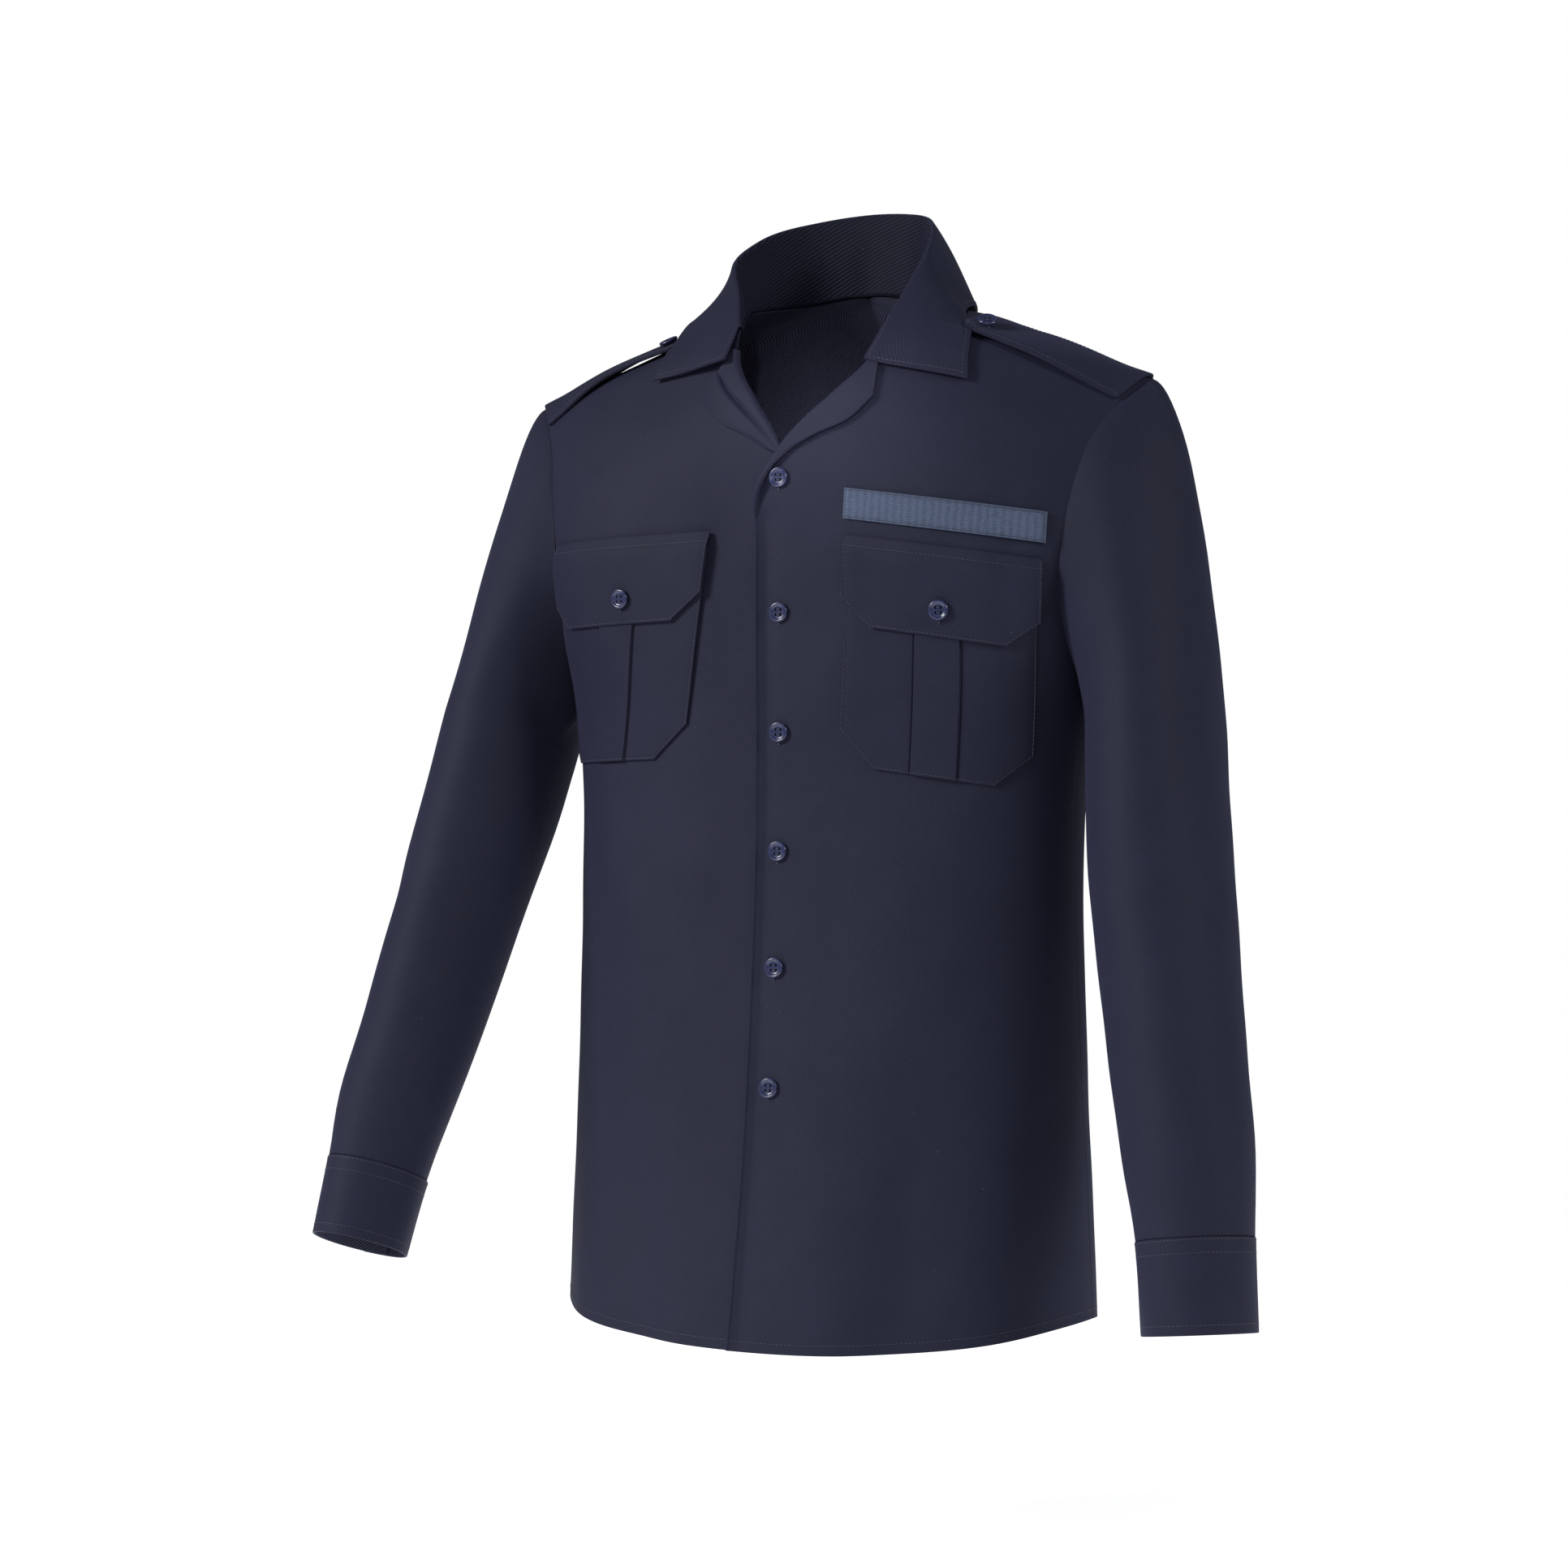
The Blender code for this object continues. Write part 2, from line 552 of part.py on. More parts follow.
def collar_section(seam, fold, middle, edge, corner, steps_fall=4, steps_stand=3):
    """Middle of the collar's wall at one station: up the stand, over the fold, down to the edge.

    The fall is a round curve where corner is 0, and has a corner at its middle point where it is 1."""
    up = unit(fold - seam)
    out = edge - fold
    out = unit(out - up * (out @ up))
    centre = fold - up * COLLAR_TURN + out * COLLAR_TURN
    fall = unit(middle - centre)
    sweep = math.acos(max(-1, min(1, fall @ up)))
    turn = [centre + COLLAR_TURN * (-math.cos(a) * out + math.sin(a) * up) for a in np.linspace(0, sweep, 5)]
    stand = [seam + (turn[0] - seam) * t for t in np.linspace(0, 1, steps_stand + 1)[:-1]]
    start = turn[-1]
    control = 2 * middle - (start + edge) / 2
    down = []
    for t in np.linspace(0, 1, steps_fall + 1)[1:]:
        round_point = (1 - t) ** 2 * start + 2 * t * (1 - t) * control + t**2 * edge
        bent = [np.interp(t, (0, 1 / 4, 1), (start[i], middle[i], edge[i])) for i in range(3)]
        down.append(round_point * (1 - corner) + np.array(bent) * corner)
    return np.array(stand + turn + down)


def body_tree(halves):
    """The body's outer surface as one search tree."""
    points = []
    faces = []
    for half in halves.values():
        grid = half.grid(np.linspace(0, 1, 25), np.linspace(0, 1, 61))
        rows, columns = grid.shape[:2]
        base = len(points)
        points.extend(grid.reshape(-1, 3).tolist())
        flip = (half.face == "front") == (half.side > 0)
        for i in range(rows - 1):
            for j in range(columns - 1):
                a = base + i * columns + j
                quad = (a, a + 1, a + columns + 1, a + columns)
                faces.append(quad if flip else quad[::-1])
    return BVHTree.FromPolygons(points, faces)


def lift_off(tree, point, clearance):
    """Moves a point out until it clears the body by a distance."""
    place, normal, _, _ = tree.find_nearest(Vector(point))
    height = (Vector(point) - place).dot(normal)
    if height < clearance:
        return np.array(place + normal * clearance)
    return np.array(point)


def neck_seam(halves, side, shares):
    """Points of the neck seam from the middle of the back to the front end of the collar."""
    along = np.linspace(halves["back", side].keys[GORGE_ROW], 1, 30)
    behind = halves["back", side].grid([0.0], along)[:, 0]
    along = np.linspace(1, halves["front", side].keys[GORGE_ROW], 30)
    before = halves["front", side].grid([0.0], along)[:, 0]
    line = np.concatenate([behind, before[1:]])
    length = np.concatenate([[0], np.cumsum(np.linalg.norm(np.diff(line, axis=0), axis=1))])
    seam = np.stack([np.interp(shares * length[-1], length, line[:, i]) for i in range(3)], axis=1)
    inward = -unit(seam * np.array([1, 1, 0]) + np.array([0, 0.01, 0]))
    return seam + inward * (CLOTH / 2) + np.array([0, 0, 2.5 * SEAM])


def collar_grid(halves, tree, stations, steps_fall=4):
    """The collar's middle surface, from the wearer's right end round the back to the left end."""
    table = np.array([[row.fold, row.middle, row.edge] for row in COLLAR])
    keys = np.concatenate([[0], np.cumsum(np.linalg.norm(np.diff(table[:, 0], axis=0), axis=1))])
    at = np.linspace(0, keys[-1], stations + 1)
    sides = {}
    for side in (1, -1):
        turned = worn(table * np.array([side, 1, 1]))
        turned[:, 2, 2] -= side * COLLAR_SWAY * keys / keys[-1]
        columns = [hermite(keys, turned[:, i], at) for i in range(3)]
        seams = neck_seam(halves, side, at / keys[-1])
        corners = smoothstep(COLLAR_CORNER_FROM, 1, at / keys[-1])
        sides[side] = [collar_section(*station, steps_fall) for station in zip(seams, *columns, corners)]
    grid = np.concatenate([np.array(sides[-1])[:0:-1], np.array(sides[1])])
    clear = CLOTH / 2 + COLLAR_CLEAR
    first_fall = 3 + 5
    for i in range(grid.shape[0]):
        for j in range(first_fall, grid.shape[1]):
            grid[i, j] = lift_off(tree, grid[i, j], clear)
    return grid


def make_collar(halves, tree, finish):
    """The folded collar."""
    grid = collar_grid(halves, tree, 12)
    wall("collar", grid, finish, lambda point: (point[0], point[1], 0), offset=0)


def lapel_grid(half, along, cross_steps):
    """Middle of one lapel's wall: round the roll and over the chest to the outer edge."""
    roll_line = half.grid([0.0, 0.04], along)
    edge_table = np.array([[edge.x, edge.z] for edge in LAPEL])
    keys = np.concatenate([[0], np.cumsum(np.linalg.norm(np.diff(edge_table, axis=0), axis=1))])
    length = np.concatenate([[0], np.cumsum(np.linalg.norm(np.diff(roll_line[:, 0], axis=0), axis=1))])
    outer = hermite(keys, edge_table, length / length[-1] * keys[-1])
    if half.side < 0:
        outer[:, 1] += RIGHT_LAPEL_RAISE * (1 - length / length[-1]) ** 2
    grid = []
    for (start, inside), (outer_x, outer_z) in zip(roll_line, outer):
        inward = unit(start - inside)
        normal = half.normal(start)
        start_x = start[0] * half.side
        width = math.hypot(outer_x - start_x, outer_z - start[2])
        radius = min(LAPEL_ROLL, max(width * 0.2, LAPEL_ROLL_LEAST))
        base = start + inward * LAPEL_GAP - normal * (CLOTH / 2)
        turn = np.linspace(0, math.pi, 5)
        section = [base + inward * radius * math.sin(a) + normal * radius * (1 - math.cos(a)) for a in turn]
        top_height = 2 * radius - CLOTH / 2
        end_height = REST + CLOTH / 2
        for t in np.linspace(0, 1, cross_steps + 1)[1:]:
            point = half.place(start_x + (outer_x - start_x) * t, start[2] + (outer_z - start[2]) * t)
            height = top_height + (end_height - top_height) * smoothstep(0, 1, t)
            section.append(half.off(point, height))
        grid.append(section)
    return np.array(grid)


def make_lapels(halves, finish):
    """Both lapels, turned back from the fronts; the right one ends where the left front covers it."""
    for side, name in ((1, "lapel_left"), (-1, "lapel_right")):
        half = halves["front", side]
        along = along_samples(half)[LOWER_STEPS + CHEST_STEPS : -SHOULDER_STEPS][::-1]
        along[0] -= LAPEL_BELOW_COLLAR
        along[-1] += LAPEL_ABOVE_BREAK
        grid = lapel_grid(half, along, 4)
        if side < 0:
            grid = under_offset(grid[:RIGHT_LAPEL_ROWS], UNDERLAP)
        wall(name, grid, finish, lambda point: (0, -1, 0), offset=0)


def patch_grid(half, columns, rows, top_z, tilt, bottom, height, start_x):
    """Points of a patch on the chest: columns are distances from its inner edge, rows are shares of its depth."""
    grid = []
    for share in rows:
        line = []
        for distance in columns:
            drop = bottom(distance) * share
            z = top_z - math.sin(tilt) * distance - math.cos(tilt) * drop
            lean = POCKET_LEAN[half.side] * drop
            point = half.place(distance + lean, z, start_x)
            line.append(half.off(point, height(distance, share)))
        grid.append(line)
    return np.array(grid)


def corner_cut(width, depth, side_depth, corner):
    """Depth of a patch at a distance from its inner edge, with its two lower corners cut off."""

    def bottom(distance):
        near = min(distance, width - distance)
        return side_depth + (depth - side_depth) * min(max(near, 0) / corner, 1)

    return bottom


def make_pocket(half, name, finish):
    """A patch pocket with a raised box pleat and cut-off lower corners."""
    width = POCKET_WIDTH[half.side]
    middle = width / 2
    fold = PLEAT_WIDTH / 2
    columns = [0, 0.012, POCKET_CORNER, 0.038, middle - fold - 0.0008, middle - fold, middle]
    columns += [width - value for value in columns[-2::-1]]
    bottom = corner_cut(width, POCKET_HEIGHT, POCKET_HEIGHT - POCKET_CORNER * 0.95, POCKET_CORNER)

    def height(distance, share):
        return POCKET_REST + CLOTH + (PLEAT_RISE if abs(distance - middle) <= fold + 1e-6 else 0)

    rows = np.linspace(0, 1, 9)
    top = FLAP_TOP[half.side] - POCKET_BELOW_FLAP_TOP
    grid = patch_grid(half, columns, rows, top, FLAP_TILT[half.side], bottom, height, POCKET_X[half.side])
    wall(name, grid, finish, lambda point: (0, -1, 0))


def make_flap(half, name, finish):
    """A pocket flap over the pocket's mouth, with cut-off corners and a button."""
    width = POCKET_WIDTH[half.side] + 2 * FLAP_OVER
    columns = [0, FLAP_CORNER, 0.038, 0.053, width / 2]
    columns += [width - value for value in columns[-2::-1]]
    bottom = corner_cut(width, FLAP_HEIGHT, FLAP_SIDE, FLAP_CORNER)
    base = POCKET_REST + CLOTH

    def height(distance, share):
        return base + (CLOTH + FLAP_CLEAR + PLEAT_RISE) * smoothstep(0.0, 0.15, share)

    rows = (0, 0.075, 0.15, 0.55, 1)
    top = FLAP_TOP[half.side]
    tilt = FLAP_TILT[half.side]
    start = POCKET_X[half.side] - FLAP_OVER
    grid = patch_grid(half, columns, rows, top, tilt, bottom, height, start)
    wall(name, grid, finish, lambda point: (0, -1, 0))
    distance = width / 2
    z = top - math.sin(tilt) * distance - math.cos(tilt) * (FLAP_HEIGHT - 0.017)
    point = half.place(distance, z, start)
    normal = half.normal(point)
    side_name = "left" if half.side > 0 else "right"
    seat = point + normal * height(distance, 0.8)
    add_button(f"button_flap_{side_name}", seat, normal, BUTTON_RADIUS)


def make_strip(half, finish):
    """The bare hook-and-loop name strip above the wearer's left pocket."""
    columns = np.linspace(0, STRIP_WIDTH, 10)
    top = FLAP_TOP[1] + STRIP_ABOVE_FLAP
    rise = POCKET_REST + STRIP_CLOTH
    tilt = FLAP_TILT[1]
    grid = patch_grid(half, columns, (0, 0.5, 1), top, tilt, lambda d: STRIP_HEIGHT, lambda d, s: rise, STRIP_X)
    wall("name_strip", grid, finish, lambda point: (0, -1, 0), thickness=STRIP_CLOTH)


def strap_grid(halves, side, length_steps, cross_steps, lift):
    """Points of a shoulder strap, laid over the shoulder seam from the armhole towards the collar."""
    front = halves["front", side]
    back = halves["back", side]
    along = np.linspace(0.75, 1, 60)
    across = np.array([side * STRAP_SLOPE[2], 0, -STRAP_SLOPE[0]])
    grid = []
    for share in np.linspace(STRAP_FROM, STRAP_TO, length_steps + 1):
        line = np.concatenate([front.grid([share], along)[:, 0], back.grid([share], along)[-2::-1, 0]])
        length = np.concatenate([[0], np.cumsum(np.linalg.norm(np.diff(line, axis=0), axis=1))])
        place = (share - STRAP_FROM) / (STRAP_TO - STRAP_FROM)
        ridge = length[len(along) - 1] - STRAP_FORWARD_INNER * (1 - place) - STRAP_FORWARD_OUTER * place
        half_width = STRAP_HALF_INNER + (STRAP_HALF_OUTER - STRAP_HALF_INNER) * place
        rise = STRAP_REST + CLOTH + lift * math.sin(math.pi * min(place * 1.15, 1)) ** 1.5
        inner_end = 1 - smoothstep(0, STRAP_END_SHARE, place)
        row = []
        for s in np.linspace(-1, 1, cross_steps + 1):
            before, point, ahead = (
                np.array([np.interp(ridge + s * half_width + step, length, line[:, i]) for i in range(3)])
                for step in (-0.004, 0, 0.004)
            )
            normal = unit(np.cross(across, ahead - before))
            normal = normal if normal[2] > 0 else -normal
            point[0] += side * STRAP_ROUNDING * (1 - min(place / 0.06, 1)) * s**2
            row.append(point + normal * (rise + inner_end * (STRAP_END_RAISE + STRAP_END_LEAN * s)))
        grid.append(row)
    return np.array(grid)


def make_straps(halves, finish):
    """Both shoulder straps, each sewn in at the armhole and buttoned near the collar."""
    for side, name in ((1, "left"), (-1, "right")):
        grid = strap_grid(halves, side, 9, 6, STRAP_LIFT)
        wall(f"epaulette_{name}", grid, finish, lambda point: (0, 0, 1))
        normal = unit(np.cross(grid[2, 3] - grid[0, 3], grid[1, 4] - grid[1, 2]) * side)
        seat = grid[0, 3] * 0.3 + grid[1, 3] * 0.7 + normal * SHANK
        add_button(f"button_strap_{name}", seat, normal, BUTTON_RADIUS)


def make_front_buttons(halves):
    """The six front buttons on the centre line."""
    half = halves["front", 1]
    for number, z in enumerate(FRONT_BUTTON_Z, start=1):
        point = half.place(0.0, z)
        normal = half.normal(point)
        add_button(f"button_front_{number}", point, normal, BUTTON_RADIUS)


def add_button(name, seat, normal, radius):
    """A round button with a raised rim, lying just off the cloth."""
    work = bmesh.new()
    profile = ((0.80, 0.0), (1.0, 0.35), (1.0, 0.75), (0.86, 1.0), (0.62, 0.80))
    sides = 14
    rings = []
    for share, level in profile:
        ring = []
        for i in range(sides):
            angle = 2 * math.pi * i / sides
            ring.append(
                work.verts.new((radius * share * math.cos(angle), radius * share * math.sin(angle), BUTTON_THICK * level))
            )
        rings.append(ring)
    for low, high in zip(rings, rings[1:]):
        for i in range(sides):
            k = (i + 1) % sides
            work.faces.new((low[i], low[k], high[k], high[i]))
    work.faces.new(rings[0][::-1])
    work.faces.new(rings[-1])
    mesh = bpy.data.meshes.new(name)
    work.to_mesh(mesh)
    work.free()
    made = add_object(name, mesh, bpy.data.materials["button"])
    made.location = Vector(seat) + Vector(normal) * SEAM
    made.rotation_euler = Vector(normal).to_track_quat("Z", "Y").to_euler()


def main():
    """Builds the shirt."""
    for old in list(bpy.data.objects):
        bpy.data.objects.remove(old)
    collection = bpy.data.collections.new("uniform_shirt")
    bpy.context.scene.collection.children.link(collection)
    cloth = material("navy_twill", NAVY, 0.75)
    material("button", BUTTON_NAVY, 0.25)
    strip = material("loop_strip", STRIP_BLUE, 0.9)
    halves = {(face, side): Half(face, side) for face in ("front", "back") for side in (1, -1)}
    tree = body_tree(halves)
    make_fronts(halves, cloth)
    make_back(halves, cloth)
    make_sleeves(halves, cloth)
    make_collar(halves, tree, cloth)
    make_lapels(halves, cloth)
    for side, name in ((1, "left"), (-1, "right")):
        make_pocket(halves["front", side], f"pocket_{name}", cloth)
        make_flap(halves["front", side], f"flap_{name}", cloth)
    make_strip(halves["front", 1], strip)
    make_straps(halves, cloth)
    make_front_buttons(halves)


main()
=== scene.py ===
"""The looks of a navy long-sleeved uniform shirt, filled out with no wearer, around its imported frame.

Metres, +Z up. The shirt faces -Y and the wearer's left is +X.
"""

from __future__ import annotations

import logging
import math
from dataclasses import dataclass, field
from enum import Enum
from typing import Callable, Iterable, NamedTuple, Sequence

import bmesh
import bpy
import numpy as np
from mathutils import Matrix, Vector
from mathutils.bvhtree import BVHTree

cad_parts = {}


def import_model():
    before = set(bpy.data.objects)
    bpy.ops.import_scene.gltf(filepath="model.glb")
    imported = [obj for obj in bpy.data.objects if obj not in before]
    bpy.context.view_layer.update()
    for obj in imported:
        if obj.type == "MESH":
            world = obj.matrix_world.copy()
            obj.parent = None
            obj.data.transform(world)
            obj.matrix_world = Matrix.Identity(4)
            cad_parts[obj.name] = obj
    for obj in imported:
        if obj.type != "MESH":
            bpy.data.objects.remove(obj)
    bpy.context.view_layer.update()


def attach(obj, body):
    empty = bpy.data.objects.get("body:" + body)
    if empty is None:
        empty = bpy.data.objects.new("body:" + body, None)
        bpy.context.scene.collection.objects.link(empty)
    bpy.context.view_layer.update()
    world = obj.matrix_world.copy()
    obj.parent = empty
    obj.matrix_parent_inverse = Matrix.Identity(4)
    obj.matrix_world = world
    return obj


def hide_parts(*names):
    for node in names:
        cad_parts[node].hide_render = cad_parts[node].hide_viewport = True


LOG = logging.getLogger("shirt")
BODY_NAME = "root"
CLOTH_UV = "cloth"
TWO_PI = 2 * math.pi
STITCH_LIFT = 0.0001
COLOUR_A, COLOUR_B, MIXED = 6, 7, 2
Values = dict[str | int, object]
Array = np.ndarray
Material = bpy.types.Material
Node = bpy.types.Node
Socket = bpy.types.NodeSocket


class Face(Enum):
    """The two faces of the body."""

    FRONT = "front"
    BACK = "back"


class Side(Enum):
    """The wearer's left and right, as the sign of x."""

    LEFT = 1
    RIGHT = -1

    @property
    def word(self) -> str:
        """The side's name in a piece's name."""
        return self.name.lower()


class Edge(Enum):
    """The four edges of a grid of points."""

    FIRST_ROW = "first row"
    LAST_ROW = "last row"
    FIRST_COLUMN = "first column"
    LAST_COLUMN = "last column"


class BodyRow(NamedTuple):
    """One level of the body, named by the height of its outer end."""

    level: float
    half_width: float
    front_side_y: float
    back_side_y: float
    front_z: float
    front_y: float
    front_turn: float
    front_inner_x: float
    back_z: float
    back_y: float
    back_turn: float
    back_inner_x: float
    rise: float
    fullness: float


class Fold(NamedTuple):
    """A large fold that the solids have too."""

    face: Face
    side: int
    across_1: float
    z_1: float
    across_2: float
    z_2: float
    half_width: float
    depth: float


class SleeveRow(NamedTuple):
    """One ring of a sleeve."""

    x: float
    y: float
    z: float
    half_across: float
    half_deep: float


class CollarRow(NamedTuple):
    """One station of the collar: its fold, the middle of its fall and its outer edge."""

    fold: tuple[float, float, float]
    middle: tuple[float, float, float]
    edge: tuple[float, float, float]


class Crease(NamedTuple):
    """A soft trough (negative) or ridge between two points of the shirt, in metres."""

    start: tuple[float, float, float]
    end: tuple[float, float, float]
    half_width: float
    depth: float


FRONT_EDGE = 0.0176
CLOTH = 0.0015
SEAM = 0.0004
REST = 0.0009
UNDERLAP = CLOTH + 0.0006
UNDERLAP_ACROSS = (0.030, 0.080)
UNDERLAP_TOP = (-0.116, -0.070)
RIM_ROLL = 0.00030
RIM_WIDTH = 0.0008
EDGE_FULLNESS = 0.00018
STITCH_PULL = 0.00028
STITCH_WIDTH = 0.0007
ARMPIT_ROW = 5
BREAK_ROW = 7
GORGE_ROW = 12
ALONG_COUNTS = (11, 3, 7, 3)

BODY_ROWS = (
    BodyRow(-0.684, 0.190, -0.010, -0.010, -0.702, -0.130, 90, -FRONT_EDGE, -0.712, 0.080, 90, 0, 2.6, 2.0),
    BodyRow(-0.600, 0.187, -0.013, -0.013, -0.606, -0.112, 90, -FRONT_EDGE, -0.610, 0.078, 90, 0, 2.0, 2.05),
    BodyRow(-0.500, 0.183, -0.016, -0.016, -0.502, -0.098, 90, -FRONT_EDGE, -0.502, 0.076, 90, 0, 2.0, 2.15),
    BodyRow(-0.420, 0.181, -0.018, -0.018, -0.420, -0.091, 90, -FRONT_EDGE, -0.420, 0.079, 90, 0, 2.0, 2.2),
    BodyRow(-0.340, 0.181, -0.016, -0.016, -0.340, -0.087, 90, -FRONT_EDGE, -0.340, 0.090, 90, 0, 2.0, 2.25),
    BodyRow(-0.285, 0.187, -0.010, -0.010, -0.283, -0.087, 90, -FRONT_EDGE, -0.283, 0.100, 90, 0, 1.6, 2.3),
    BodyRow(-0.240, 0.184, -0.044, 0.048, -0.232, -0.087, 78, -FRONT_EDGE, -0.230, 0.107, 76, 0, 1.4, 2.7),
    BodyRow(-0.200, 0.184, -0.056, 0.062, -0.182, -0.087, 72, -FRONT_EDGE, -0.178, 0.109, 70, 0, 1.2, 2.9),
    BodyRow(-0.170, 0.188, -0.056, 0.064, -0.146, -0.087, 66, -0.0155, -0.136, 0.107, 64, 0, 1.1, 2.7),
    BodyRow(-0.140, 0.193, -0.050, 0.060, -0.112, -0.086, 58, 0.004, -0.092, 0.102, 58, 0, 1.0, 2.4),
    BodyRow(-0.112, 0.200, -0.039, 0.050, -0.078, -0.080, 52, 0.031, -0.052, 0.091, 52, 0, 1.0, 2.15),
    BodyRow(-0.090, 0.212, -0.023, 0.032, -0.046, -0.069, 46, 0.052, -0.019, 0.070, 46, 0, 1.0, 2.0),
    BodyRow(-0.0795, 0.2205, -0.011, 0.016, -0.0165, -0.056, 44, 0.056, 0.000, 0.053, 44, 0, 1.0, 2.0),
    BodyRow(-0.0731, 0.2265, -0.004, 0.006, -0.0030, -0.028, 42, 0.0625, 0.0096, 0.038, 42, 0.040, 1.0, 2.0),
    BodyRow(-0.0725, 0.228, -0.0003, 0.0003, 0.0121, -0.0015, 40, 0.065, 0.0121, 0.0025, 40, 0.065, 1.0, 2.0),
)
FOLDS = (
    Fold(Face.FRONT, 1, 0.60, -0.700, 0.66, -0.380, 0.050, 0.0050),
    Fold(Face.FRONT, 1, 0.36, -0.700, 0.38, -0.420, 0.036, -0.0035),
    Fold(Face.FRONT, -1, 0.55, -0.700, 0.62, -0.400, 0.050, 0.0045),
    Fold(Face.FRONT, -1, 0.34, -0.700, 0.38, -0.480, 0.034, -0.0030),
    Fold(Face.BACK, 0, 0.45, -0.700, 0.55, -0.330, 0.050, 0.0050),
    Fold(Face.BACK, 0, -0.50, -0.700, -0.40, -0.360, 0.050, 0.0050),
    Fold(Face.BACK, 0, 0.00, -0.690, 0.05, -0.450, 0.045, -0.0040),
)
SLEEVE_ROWS = {
    Side.LEFT: (
        SleeveRow(0.2400, -0.026, -0.310, 0.0420, 0.0680),
        SleeveRow(0.2500, -0.048, -0.370, 0.0440, 0.0630),
        SleeveRow(0.2625, -0.068, -0.440, 0.0435, 0.0570),
        SleeveRow(0.2765, -0.087, -0.510, 0.0420, 0.0520),
        SleeveRow(0.2895, -0.103, -0.570, 0.0395, 0.0470),
        SleeveRow(0.2960, -0.111, -0.614, 0.0357, 0.0427),
        SleeveRow(0.3015, -0.118, -0.671, 0.0345, 0.0415),
    ),
    Side.RIGHT: (
        SleeveRow(0.2360, -0.034, -0.305, 0.0395, 0.0650),
        SleeveRow(0.2400, -0.058, -0.360, 0.0400, 0.0590),
        SleeveRow(0.2465, -0.088, -0.425, 0.0385, 0.0525),
        SleeveRow(0.2530, -0.119, -0.495, 0.0365, 0.0475),
        SleeveRow(0.2590, -0.146, -0.552, 0.0350, 0.0435),
        SleeveRow(0.2630, -0.161, -0.593, 0.0313, 0.0383),
        SleeveRow(0.2665, -0.178, -0.642, 0.0290, 0.0360),
    ),
}
COLLAR_ROWS = (
    CollarRow((0.0000, 0.058, 0.0585), (0.000, 0.075, 0.030), (0.000, 0.086, -0.016)),
    CollarRow((0.0340, 0.051, 0.0550), (0.050, 0.064, 0.026), (0.060, 0.073, -0.016)),
    CollarRow((0.0620, 0.014, 0.0390), (0.077, 0.018, 0.014), (0.092, 0.024, -0.012)),
    CollarRow((0.0700, -0.010, 0.0215), (0.081, -0.012, 0.002), (0.099, -0.010, -0.019)),
    CollarRow((0.0620, -0.033, -0.0050), (0.082, -0.036, -0.018), (0.108, -0.034, -0.036)),
    CollarRow((0.0575, -0.047, -0.0190), (0.079, -0.056, -0.038), (0.112, -0.050, -0.057)),
    CollarRow((0.0535, -0.058, -0.0300), (0.051, -0.0765, -0.0540), (0.115, -0.056, -0.069)),
)
LAPEL_EDGE = (
    (0.0640, -0.0850),
    (0.0500, -0.0985),
    (0.0240, -0.1095),
    (0.0003, -0.1232),
    (-0.0130, -0.1385),
    (-0.0168, -0.1500),
)
CREASES = (
    Crease((0.158, -0.078, -0.150), (0.160, -0.080, -0.300), 0.011, -0.0022),
    Crease((0.150, -0.080, -0.255), (0.166, -0.070, -0.345), 0.012, 0.0014),
    Crease((-0.178, -0.062, -0.170), (-0.170, -0.066, -0.330), 0.012, -0.0026),
    Crease((-0.150, -0.080, -0.330), (-0.110, -0.090, -0.470), 0.022, 0.0014),
    Crease((0.120, -0.090, -0.330), (0.100, -0.100, -0.520), 0.026, -0.0014),
    Crease((0.130, -0.060, -0.085), (0.180, -0.050, -0.120), 0.012, 0.0012),
    Crease((-0.120, -0.070, -0.100), (-0.175, -0.050, -0.135), 0.012, -0.0012),
    Crease((0.120, 0.095, -0.200), (0.165, 0.060, -0.300), 0.016, 0.0016),
    Crease((-0.120, 0.095, -0.200), (-0.165, 0.060, -0.300), 0.016, 0.0016),
    Crease((0.050, 0.100, -0.340), (0.120, 0.075, -0.460), 0.024, -0.0016),
    Crease((-0.060, 0.100, -0.360), (-0.120, 0.075, -0.500), 0.024, -0.0014),
)
SLEEVE_CREASES = (
    Crease((0.215, -0.070, -0.235), (0.245, -0.090, -0.330), 0.014, -0.0022),
    Crease((0.205, -0.060, -0.290), (0.235, -0.085, -0.350), 0.011, 0.0016),
    Crease((0.255, -0.115, -0.395), (0.300, -0.110, -0.450), 0.013, -0.0016),
    Crease((0.250, 0.010, -0.400), (0.300, -0.010, -0.450), 0.015, -0.0022),
    Crease((0.235, -0.020, -0.430), (0.300, -0.020, -0.470), 0.013, 0.0014),
    Crease((0.290, -0.150, -0.560), (0.325, -0.130, -0.590), 0.012, -0.0012),
    Crease((0.215, 0.040, -0.240), (0.235, 0.030, -0.330), 0.014, -0.0022),
)


def cubic(t: float | Array, start: Array, leave: Array, end: Array, arrive: Array) -> Array:
    """The point at t on the curve between two points, leaving and arriving in given ways.

    Args:
        t: how far along, from 0 to 1.
        start: the first point.
        leave: the way and speed out of it.
        end: the last point.
        arrive: the way and speed into it.

    Returns:
        The point.
    """
    return (
        (2 * t**3 - 3 * t**2 + 1) * start
        + (t**3 - 2 * t**2 + t) * leave
        + (3 * t**2 - 2 * t**3) * end
        + (t**3 - t**2) * arrive
    )


